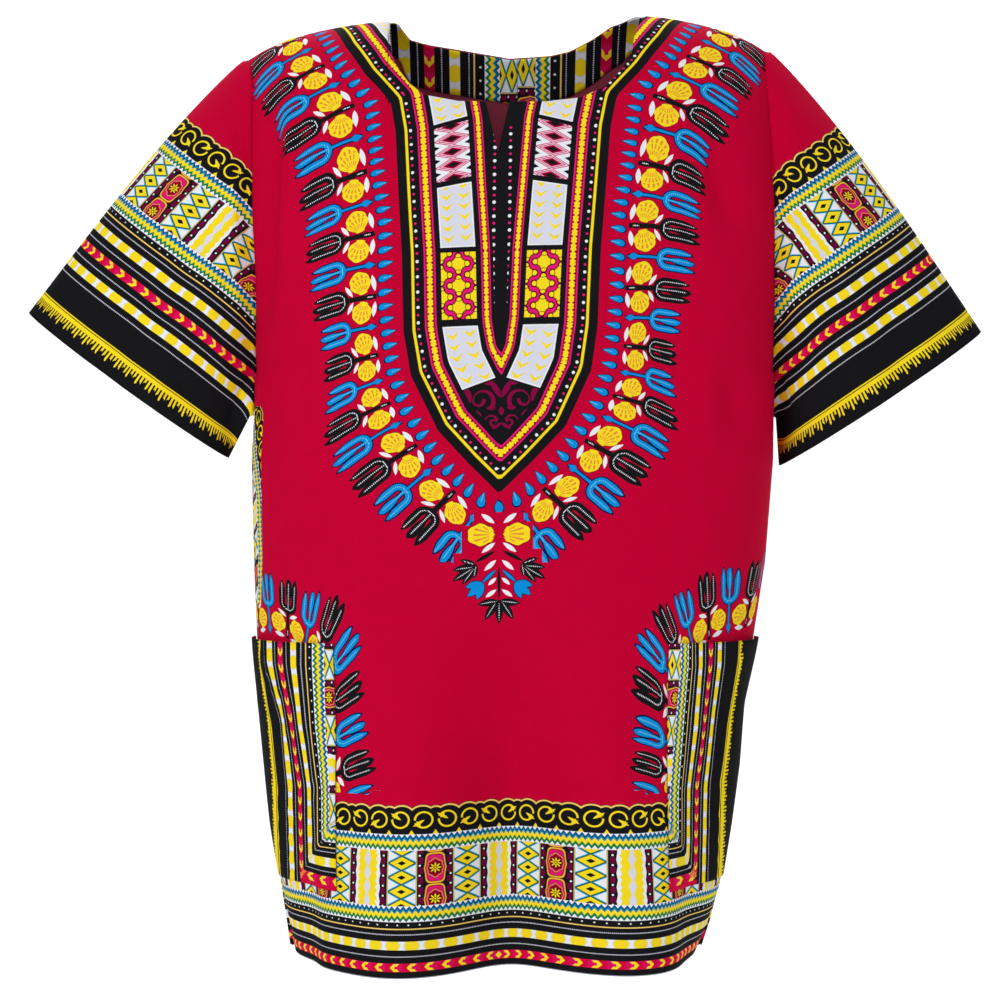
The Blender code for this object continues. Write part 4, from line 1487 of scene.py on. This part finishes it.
def arrow_stripe(cloth, along, above):
    """Yellow arrowheads on red, all pointing away from the middle of the print."""
    band = above.near(0.0, STRIPE_HALF)
    cloth.fill(band, ROSE)
    place = abs(along).every(11.4, 7.4)
    aside = abs(above)
    streaks = (above * 4.4).math("SINE") > 0.35
    cloth.fill(band & streaks & place.within(-5.2, 0.6), PINK)
    head = abs(place + aside * 0.85 - 1.6) < 1.9
    notch = (place + aside * 0.2 < 0.4) & (aside < 1.2)
    cloth.fill(band & head & (aside < 3.1) & (1.0 - notch), YELLOW)
    cloth.fill((abs(along) + aside < 2.9), YELLOW)


DIAMONDS_FOLD = (16.9, 36.1)
DIAMOND_LAYERS = (
    (1.26, PALE_BLUE), (1.16, BLUE), (1.07, DARK_GREEN), (0.9, YELLOW), (0.32, BLACK),
)


def blocks(cloth, shown, fold, above):
    """Tall panels: yellow on white, diamonds and rosettes, with dotted strips between."""
    cloth.fill(shown, BLACK)
    lens = above.mirrored(11.0)
    cloth.fill(shown & (fold - lens * 0.16 < 9.9), WHITE)
    outer = above.mirrored(5.5) * 0.55 + 7.0
    cloth.fill(shown & (fold < outer), YELLOW)
    cloth.fill(shown & (fold - lens * 0.36 < 0.9), PALE_GREY)
    step = abs(above.every(7.8, 3.0))
    for low, high, dot in ((11.4, 14.6, 13.1), (38.0, 41.0, 38.7)):
        cloth.fill(shown & fold.within(low, high) & (step > 1.5), PLUM)
        cloth.fill(shown & (hypot(fold - dot, step) < 0.75), WHITE)
    cloth.fill(shown & fold.within(16.0, 37.0), TAN)
    diamonds = shown & fold.within(*DIAMONDS_FOLD)
    cloth.fill(diamonds, WHITE)
    slope = abs(fold - sum(DIAMONDS_FOLD) / 2.0) / 9.5 + abs(above.every(11.1, 68.8)) / 5.55
    for reach, colour in DIAMOND_LAYERS:
        cloth.fill(diamonds & (slope < reach), colour)


def rosettes(cloth, shown, fold, above):
    """Two stacked pink cushions with a flower in each."""
    aside = 49.0 - fold
    height = above.every(24.4, 62.2)
    notch = abs((height * 0.2618).math("SINE")) * 0.8
    x, y = (aside + notch) / 7.7, height / 12.2
    reach = x**4.0 + (y * y) * (y * y)
    for limit, colour in ((1.0, DARK_RED), (0.92, GOLD), (0.6, DARK_RED), (0.46, PINK)):
        cloth.fill(shown & (reach < limit), colour)
    turn = height.math("ARCTAN2", aside)
    flower = hypot(aside / 5.9, height / 7.8) - (turn * 8.0).math("COSINE") * 0.05
    for limit, colour in ((1.04, DARK_RED), (0.98, SALMON), (0.83, DARK_RED)):
        cloth.fill(shown & (flower < limit), colour)
    middle = hypot(aside, height)
    petals = abs((turn * 4.0).math("COSINE")) * 4.0
    cloth.fill(shown & (middle < 4.0), DARK_BROWN)
    cloth.fill(shown & (middle < petals) & (middle > 1.2), YELLOW)
    cloth.fill(shown & (middle < 0.7), YELLOW)


def rings_row(cloth, along, above):
    """Yellow rings with a leaf across each, under a scalloped yellow edge."""
    place = abs(along)
    bump = place.mirrored(32.6)
    big = hypot(bump - 7.2, above - 125.2) - 10.1
    small = hypot(bump - 16.3, above - 128.6) - 5.9
    edge = big & small
    low = above.within(0.0, 128.0)
    cloth.fill((edge < 1.1) | low, BLACK)
    cloth.fill(abs(edge) < 0.62, PALE_GOLD)
    cloth.fill((edge < -0.62) | low, BLACK)
    x = place.every(16.3, 8.15)
    odd = place.math("WRAP", 32.6, 0.0) > 16.3
    y = (above - 124.3) * (1.0 - odd * 2.0)
    gap = (x > 3.0) & y.within(0.4, 2.4)
    ring = (abs(hypot(x, y) - 6.0) < 0.7) & (1.0 - gap)
    across = leaf(x, y, 3.3, 2.5, 4.6, 1.15, 33.0) | leaf(x, y, 3.5, 3.0, 2.5, 0.8, -50.0)
    cloth.fill(above.within(115.0, 133.0) & (ring | across), YELLOW)
    tooth = abs(place.every(16.3)) < (116.6 - above) * 0.6
    cloth.fill(above.within(112.0, 116.6) & tooth, YELLOW)


# Levels of the border's parts above the hem's edge, in mm.
RINGS_LEVEL = 112.0
ZIGZAG_LEVELS = (100.6, 44.9)
BLOCKS_LEVELS = (57.5, 101.2)
BLOCKS_PITCH = 98.0
ROSETTES_FOLD = 41.0
DOTS_LEVEL = 42.6
GOLD_LINE_LEVEL = 39.4
BEADED_LEVELS = (35.0, 17.7, 0.4, -16.9)
HIGH_STRIPE_LEVEL = 26.35
ARROWS_LEVEL = 9.05
LOW_STRIPE_LEVEL = -8.25
FEATHER_LEVELS = (-44.5, -39.5)
FEATHER_TIPS = -50.0


def feather_stripe(cloth, along, above):
    """A yellow band with uneven strokes hanging from it, and a dark thread along it."""
    low, high = FEATHER_LEVELS
    uneven = (along * 1.7).math("SINE") * 1.6 + (along * 0.71).math("SINE") * 1.3
    strokes = (above < low + 1.0) & (above > uneven + FEATHER_TIPS)
    strokes = strokes & ((along * 2.4).math("SINE") > -0.1)
    cloth.fill(above.within(low, high) | strokes, YELLOW)
    cloth.fill(above.near(high - 1.4, 0.35), BLACK)


def draw_border(cloth, along, above):
    """The whole border, from the scalloped top down to the black of the hem."""
    rings_row(cloth, along, above)
    cloth.fill(above < RINGS_LEVEL, BLACK)
    fold = along.mirrored(BLOCKS_PITCH)
    shown = above.within(*BLOCKS_LEVELS)
    blocks(cloth, shown, fold, above)
    rosettes(cloth, shown & (fold > ROSETTES_FOLD), fold, above)
    for level in ZIGZAG_LEVELS:
        zigzag(cloth, along, above - level)
    cloth.fill(dots(along, above - DOTS_LEVEL, 7.4, 0.62), WHITE)
    cloth.fill(above.near(GOLD_LINE_LEVEL, 0.5), DULL_GOLD)
    for level in BEADED_LEVELS:
        beaded_line(cloth, along, above - level)
    yellow_stripe(cloth, along, above - HIGH_STRIPE_LEVEL)
    arrow_stripe(cloth, along, above - ARROWS_LEVEL)
    yellow_stripe(cloth, along + 4.0, above - LOW_STRIPE_LEVEL)
    feather_stripe(cloth, along, above)


def border_cloth():
    cloth = Print("border print", CRIMSON, "cloth")
    draw_border(cloth, *cloth.map("border"))
    return cloth.finish()


border_print = border_cloth()
print("border nodes", len(border_print.node_tree.nodes))

# %% [markdown]
# ## Where the border lies on each piece
# Along the hem the border's height is simply the height above the hem. On a sleeve it starts
# some way inside the cuff, because the sleeve was cut from further down the cloth, and on a
# pocket it stands upright and turns a corner near the bottom. These places were found from
# which stripe lies where on each piece. Beside the wearer's right side seam a strip of
# upright border shows at the very edge of the front. The hidden back is guessed: its border
# turns upright beside both side seams.

# %% Border places
CUFF_ABOVE = -60.8
SLEEVE_RIDGE_ALONG = 1.0
SLEEVE_SCALE_ROUND = 0.79
SLEEVE_SCALE_UP = 0.935
BORDER_TOP = 141.0
SIDE_BORDER_FOOT = 62.0
SIDE_BORDER_TOP_Z = -0.395
STRIP_MIDDLE_Z = -0.44
STRIP_X = -0.2005
STRIP_STRETCH = 2.2
STRIP_HEIGHTS = (-0.4897, -0.4015, -0.3763, -0.3318, -0.3217)
STRIP_ABOVE = (108.0, 112.0, 118.0, 136.0, BORDER_TOP)
# A pocket's stripes, by the border's levels: how far across each stands at three heights.
POCKET_LEVELS = (
    75.0, 57.5, 44.9, 39.2, 35.0, 29.6, 23.0, 17.7, 12.4, 5.7, 0.4, -5.0, -11.5, -16.9, -39.5,
    -44.5, -64.0,
)
POCKET_HEIGHTS = (-533.4, -581.6, -630.6)
POCKET_LEVEL_X = {
    "left": (
        (125.6, 136.7, 142.6, 146.2, 149.2, 151.3, 154.5, 156.8, 159.2, 163.2, 165.2, 167.1,
         170.3, 173.4, 185.0, 189.2, 191.6),
        (122.9, 132.3, 138.7, 142.6, 145.0, 148.1, 151.3, 153.7, 155.3, 158.4, 160.0, 162.0,
         164.7, 167.1, 177.4, 181.3, 185.3),
        (120.2, 127.2, 135.1, 138.0, 140.0, 142.2, 145.0, 146.6, 148.9, 152.1, 154.1, 156.5,
         159.2, 162.0, 170.3, 175.8, 180.5),
    ),
    "right": (
        (-133.0, -146.1, -156.0, -161.5, -165.8, -169.4, -174.2, -178.1, -180.9, -185.2, -188.4,
         -190.0, -195.1, -199.0, -201.0, -203.0, -205.0),
        (-132.5, -145.3, -153.6, -157.9, -162.3, -164.7, -168.2, -170.6, -172.1, -175.7, -178.1,
         -178.9, -182.1, -183.1, -192.4, -196.3, -197.9),
        (-130.6, -142.2, -148.1, -152.1, -155.2, -156.8, -160.8, -163.1, -165.5, -168.7, -171.0,
         -173.4, -178.1, -179.7, -186.8, -192.4, -194.0),
    ),
}
# Heights and levels where the pocket's border has turned the corner.
POCKET_CORNER = (
    (-706.4, 5.7), (-700.1, 12.4), (-693.0, 22.5), (-685.1, 29.6), (-672.5, 44.9), (-661.4, 57.5),
    (-640.0, 82.0),
)
POCKET_SCALE_DOWN = 0.86
POCKET_START_DOWN = 12.0
POCKET_START_ACROSS = 60.0
# Distances from the facing's seam, and levels there.
FACING_LEVELS = (
    (0.0, 74.0), (15.3, 57.5), (28.0, 44.9), (38.2, 39.2), (41.6, 35.0), (50.0, 29.6),
    (58.6, 23.0), (65.4, 17.7), (71.4, 12.4), (80.7, 5.7), (85.8, 0.4), (92.6, -5.0),
    (102.0, -11.5), (108.0, -16.9), (130.0, -30.0),
)
FACING_SCALE_DOWN = 1.38
FACING_START_DOWN = 3.0


def strip_places():
    """The strip of border that shows beside the wearer's right side seam."""
    x, height = panels["front"][0][..., 0], panels["front"][0][..., 2]
    row = int(np.argmin(np.abs(height[:, 0] - STRIP_MIDDLE_Z)))
    last = int(np.argmin(np.abs(x[row, :FAN_COLUMNS] - STRIP_X)))
    inward = (x[:, last : last + 1] - x) * MM * STRIP_STRETCH
    level = np.interp(height, STRIP_HEIGHTS, STRIP_ABOVE) - inward
    shown = (height > STRIP_HEIGHTS[0]) & (height < STRIP_HEIGHTS[-1])
    shown[:, last + 1 :] = False
    return shown, level


side_strip, strip_level = strip_places()
print("points in the strip beside the seam", int(side_strip.sum()))


def hem_border(face):
    """Across and up from the hem, or down and aside where the border stands upright."""
    height = panels[face][0][..., 2]
    flat_across, down = places[face]
    above = (height - HEM_Z) * MM
    if face == "back":
        to_right, to_left = flat_across[:, :1], flat_across[:, -1:]
        from_seam = np.minimum(np.abs(flat_across - to_right), np.abs(flat_across - to_left))
        below = (SIDE_BORDER_TOP_Z - height) * MM
        upright_level = np.maximum(from_seam + SIDE_BORDER_FOOT, BORDER_TOP - below)
        upright = upright_level < above
    else:
        upright, upright_level = side_strip, strip_level
    along = np.where(upright, down, prints[face][0])
    return np.stack([along, np.where(upright, upright_level, above)], axis=-1)


def sleeve_border(grid):
    """Round the sleeve from its ridge, and up from the cuff."""
    steps = np.linalg.norm(np.diff(grid, axis=0), axis=-1) * MM
    run = np.concatenate([np.zeros((1, grid.shape[1])), np.cumsum(steps, axis=0)])
    above = (run[-1] - run) * SLEEVE_SCALE_UP + CUFF_ABOVE
    loop = np.concatenate([grid, grid[:, :1]], axis=1)
    round_steps = np.linalg.norm(np.diff(loop, axis=1), axis=-1).mean(axis=0) * MM
    round_steps = np.concatenate([[0.0], np.cumsum(round_steps)])
    along = round_steps * SLEEVE_SCALE_ROUND + SLEEVE_RIDGE_ALONG
    above = np.concatenate([above, above[:, :1]], axis=1)
    return np.stack([np.broadcast_to(along, above.shape), above], axis=-1)


def pocket_border(side, grid):
    """Upright beside the pocket's outer edge, and turning in near its bottom."""
    x, z = grid[..., 0] * MM, grid[..., 2] * MM
    table = np.array(POCKET_LEVEL_X[side])[::-1]
    heights = POCKET_HEIGHTS[::-1]
    levels = np.array(POCKET_LEVELS)
    upright = np.empty(x.shape)
    for place in np.ndindex(*x.shape):
        level_x = np.array([np.interp(z[place], heights, level) for level in table.T])
        order = np.argsort(level_x)
        upright[place] = np.interp(x[place], level_x[order], levels[order])
    across = np.interp(z, *np.array(POCKET_CORNER).T)
    down = (POCKET_TOP_Z * MM - z) * POCKET_SCALE_DOWN + POCKET_START_DOWN
    along = np.where(across < upright, np.abs(x) - POCKET_START_ACROSS, down)
    return np.stack([along, np.minimum(across, upright)], axis=-1)


def facing_border(grid):
    """Aside from the seam, and down from the neck's edge."""
    offset = np.abs(grid[..., 0] - FACING_SEAM_X) * MM
    above = np.interp(offset, *np.array(FACING_LEVELS).T)
    along = (grid[..., 2].max() - grid[..., 2]) * MM / FACING_SCALE_DOWN + FACING_START_DOWN
    return np.stack([along, above], axis=-1)


# %% [markdown]
# Beside each pocket the sprays turn off the yoke and run down along the pocket's edge, in a
# ladder of their own on each side of the shirt.

# %% Sprays beside the pockets
POCKET_SPRAYS = {
    "left": (
        (-2, 250.0, 455.0, 243.0, 484.0),
        (-1, 226.5, 475.4, 219.0, 503.0),
        (0, 193.0, 499.8, 193.9, 521.4),
        (1, 171.1, 514.5, 172.9, 537.2),
        (2, 152.1, 535.5, 158.0, 555.0),
        (3, 140.6, 551.3, 152.0, 572.0),
        (4, 130.8, 573.2, 150.0, 590.0),
        (5, 129.9, 597.4, 152.0, 606.0),
        (6, 130.1, 630.8, 153.0, 632.0),
        (7, 127.6, 652.9, 150.0, 654.0),
        (8, 124.0, 678.0, 147.0, 680.0),
    ),
    "right": (
        (-2, 252.0, 440.0, 250.0, 468.0),
        (-1, 232.0, 462.0, 228.0, 488.0),
        (0, 204.8, 480.4, 201.9, 504.2),
        (1, 177.2, 501.7, 178.0, 522.5),
        (2, 156.1, 523.9, 160.0, 545.0),
        (3, 141.7, 536.5, 152.0, 560.0),
        (4, 132.7, 564.3, 152.0, 580.0),
        (5, 133.6, 593.2, 156.0, 600.0),
        (6, 131.3, 621.9, 155.0, 626.0),
        (7, 123.0, 649.2, 147.0, 651.0),
        (8, 120.0, 676.0, 144.0, 678.0),
    ),
}


def pocket_spray_places():
    across, down = prints["front"]
    found = np.full((*across.shape, 2), FAR_OFF)
    for side, sign in (("left", 1.0), ("right", -1.0)):
        table = np.array(POCKET_SPRAYS[side], float)
        rails = (table[:, 0], table[:, 1:3], table[:, 3:5])
        there = ladder_place(across * sign, down, *rails)
        found = np.where((across * sign > 0.0)[..., None], there, found)
    return found


beside_pockets = pocket_spray_places()
print("points beside the pockets", int((beside_pockets[..., 0] < FAR_OFF).sum()))


def pocket_spray_cloth():
    cloth = Print("pocket spray print", CRIMSON, "cloth")
    rung, share = cloth.map("pockets")
    draw_sprays(cloth, rung, share, share.within(-1.25, 1.25))
    return cloth.finish()


pocket_spray_print = pocket_spray_cloth()

# %% [markdown]
# Where the two rows meet under the point of the yoke, the print closes with two flowers,
# small black and blue sprays and one black head in the middle. The sprays are leaves set one
# by one. The place that these figures have widens in steps. It is a little too wide at the top,
# so the last blue spray of each row loses its inner prong and part of its stem.

# %% Figures under the point
# Each row: half width, and how far down it begins.
POINT_STEPS = ((19.5, 462.0), (26.5, 471.0), (33.0, 492.0), (42.0, 501.5))
POINT_BOTTOM = 562.0
POINT_FLOWER_ACROSS, POINT_FLOWER_DOWN = 2.8, 478.0
# Each row: across and down of the middle, half length, half width, angle in degrees.
POINT_BLACK = (
    (0.0, 516.5, 14.0, 1.3, 90.0),
    (8.4, 531.5, 9.0, 3.0, 8.0),
    (6.4, 537.5, 9.4, 3.2, 57.0),
    (0.0, 539.0, 9.6, 3.2, 90.0),
    (11.0, 495.2, 9.5, 1.6, 28.0),
    (24.1, 499.4, 7.0, 2.4, -20.0),
    (27.6, 503.8, 9.0, 3.0, 6.0),
    (27.6, 508.2, 10.6, 3.2, 31.0),
    (23.7, 509.6, 8.6, 3.0, 52.0),
    (18.9, 506.4, 6.0, 2.2, 78.0),
)
POINT_BLUE = (
    (8.0, 510.8, 7.2, 1.3, 42.0),
    (19.6, 517.2, 6.8, 2.8, 12.0),
    (19.0, 521.4, 7.4, 3.0, 38.0),
    (15.0, 522.2, 6.8, 2.8, 68.0),
)
POINT_WHITE = (
    (8.7, 465.4, 6.4, 2.0, -36.0),
    (8.4, 488.3, 6.6, 1.8, 36.0),
    (7.0, 502.2, 6.2, 1.8, 41.0),
    (5.4, 514.9, 4.3, 1.5, 41.0),
    (6.4, 524.3, 5.2, 1.6, 35.0),
)


def leaves(x, y, rows, grow=0.0):
    """1 inside any leaf of a table, each grown a little if asked."""
    masks = [leaf(x, y, *row[:2], row[2] + grow, row[3] + grow, row[4]) for row in rows]
    total = masks[0]
    for mask in masks[1:]:
        total = total | mask
    return total


def point_cloth():
    cloth = Print("point print", CRIMSON, "cloth")
    across, down = cloth.map("cloth")
    x = abs(across)
    along, aside = x - POINT_FLOWER_ACROSS, abs(down - POINT_FLOWER_DOWN)
    turn = aside.math("ARCTAN2", along)
    oval = hypot((along - 11.6) * 0.097, aside * 0.118) + (turn * 15.0).math("COSINE") * 0.05
    stalk = along.within(0.5, 10.0)
    cloth.fill((oval < 1.1) | (aside < along * 0.5 + 0.9) & stalk, DARK_RED)
    cloth.fill((oval < 1.0) | (aside < along * 0.5) & stalk, YELLOW)
    veins = (turn * 22.0).math("COSINE") > 0.4
    cloth.fill((oval < 0.72) & along.within(5.0, 17.0) & veins, ORANGE)
    cloth.fill(leaves(x, down, POINT_BLUE, 0.8), NAVY)
    cloth.fill(leaves(x, down, POINT_BLUE), BLUE)
    cloth.fill(leaves(x, down, POINT_BLACK), BLACK)
    beads = ((x + down) * 3.4).math("SINE") > 0.1
    veins = [(row[0], row[1], row[2] * 0.8, 0.45, row[4]) for row in POINT_BLACK if row[3] > 2.0]
    cloth.fill(leaves(x, down, veins) & beads, WHITE)
    cloth.fill(leaves(x, down, POINT_WHITE), WHITE)
    return cloth.finish()


point_print = point_cloth()

# %% [markdown]
# ## The pieces
# Each panel is divided among a few finishes, so that no single material has to hold the
# whole print. Most of the lines between them lie in plain red, where they can't be seen. The
# strip beside the right side seam ends as sharply as a seam does, and under the yoke's point
# two sprays are cut. The inside of the cloth is duller, because the dye doesn't go right
# through.

# %% Front and back
YOKE, RING, BORDER, BESIDE_POCKETS, POINT, RED = range(6)
wrong_side = plain_cloth("wrong side of the cloth", colour_of(150, 60, 80), "cloth")


def panel_regions(face):
    """Which finish each point of a panel has, by its place in the list of finishes."""
    depth = yokes[face][0]
    spray_rung, spray_share = np.moveaxis(spray_places[face], -1, 0)
    drop_share = drop_places[face][..., 1]
    ring = (spray_rung < 16.55) & (spray_share > -1.55) & (spray_share < 2.75)
    ring |= (drop_share > -0.5) & (drop_share < 1.6)
    region = np.full(depth.shape, RED)
    if face == "front":
        region[np.abs(beside_pockets[..., 1]) < 1.7] = BESIDE_POCKETS
    region[hem_border(face)[..., 1] < BORDER_TOP + 4.0] = BORDER
    region[ring] = RING
    if face == "front":
        across, down = prints[face]
        for half_width, from_down in POINT_STEPS:
            below = (down > from_down) & (down < POINT_BOTTOM)
            region[(np.abs(across) < half_width) & below] = POINT
    region[depth > -0.5] = YOKE
    return region


def panel_maps(face):
    maps = {
        "cloth": np.stack(prints[face], axis=-1),
        "yoke": np.stack(yokes[face], axis=-1),
        "sprays": spray_places[face],
        "drops": drop_places[face],
        "border": hem_border(face),
    }
    if face == "front":
        maps["pockets"] = beside_pockets
    return maps


finishes = [
    yoke_print, ring_print, border_print, pocket_spray_print, point_print, red_cloth, wrong_side,
]
body = {}
for face in grids:
    body[face] = cloth_piece(
        face, panels[face][0], panel_maps(face), finishes, panel_regions(face),
        turn_over=face == "back",
    )
    stands_for(body[face], face + "_panel")
    print(face, len(body[face].data.polygons), "faces")

# %% [markdown]
# The sleeves, pockets and facing are cut from the border of the cloth alone. The two sides
# are made in turn, each with its own sleeve, pocket and half of the facing.

# %% Sleeves, pockets and facing in cloth
bordered = [border_print, wrong_side]
for row in SLEEVES:
    side = "left" if row[0] > 0 else "right"
    grid = sleeve_points(*row)
    border = sleeve_border(grid)
    sleeve = cloth_piece(
        "sleeve_" + side + "_cloth", grid, {"cloth": border, "border": border}, bordered,
        wrap=True, turn_over=row[0] < 0,
    )
    stands_for(sleeve, "sleeve_" + side)
    grid, patch = pocket_points(row[0])
    thread_places = np.stack(prints["front"], axis=-1)[patch]
    maps = {"cloth": thread_places, "border": pocket_border(side, grid)}
    pocket = cloth_piece("pocket_" + side + "_cloth", grid, maps, bordered)
    stands_for(pocket, "pocket_" + side)
    grid, patch = facing_points(row[0])
    thread_places = np.stack(prints["back"], axis=-1)[patch]
    maps = {"cloth": thread_places, "border": facing_border(grid)}
    facing = cloth_piece("facing_" + side, grid, maps, bordered)
    stands_for(facing, "neck_facing_" + side)
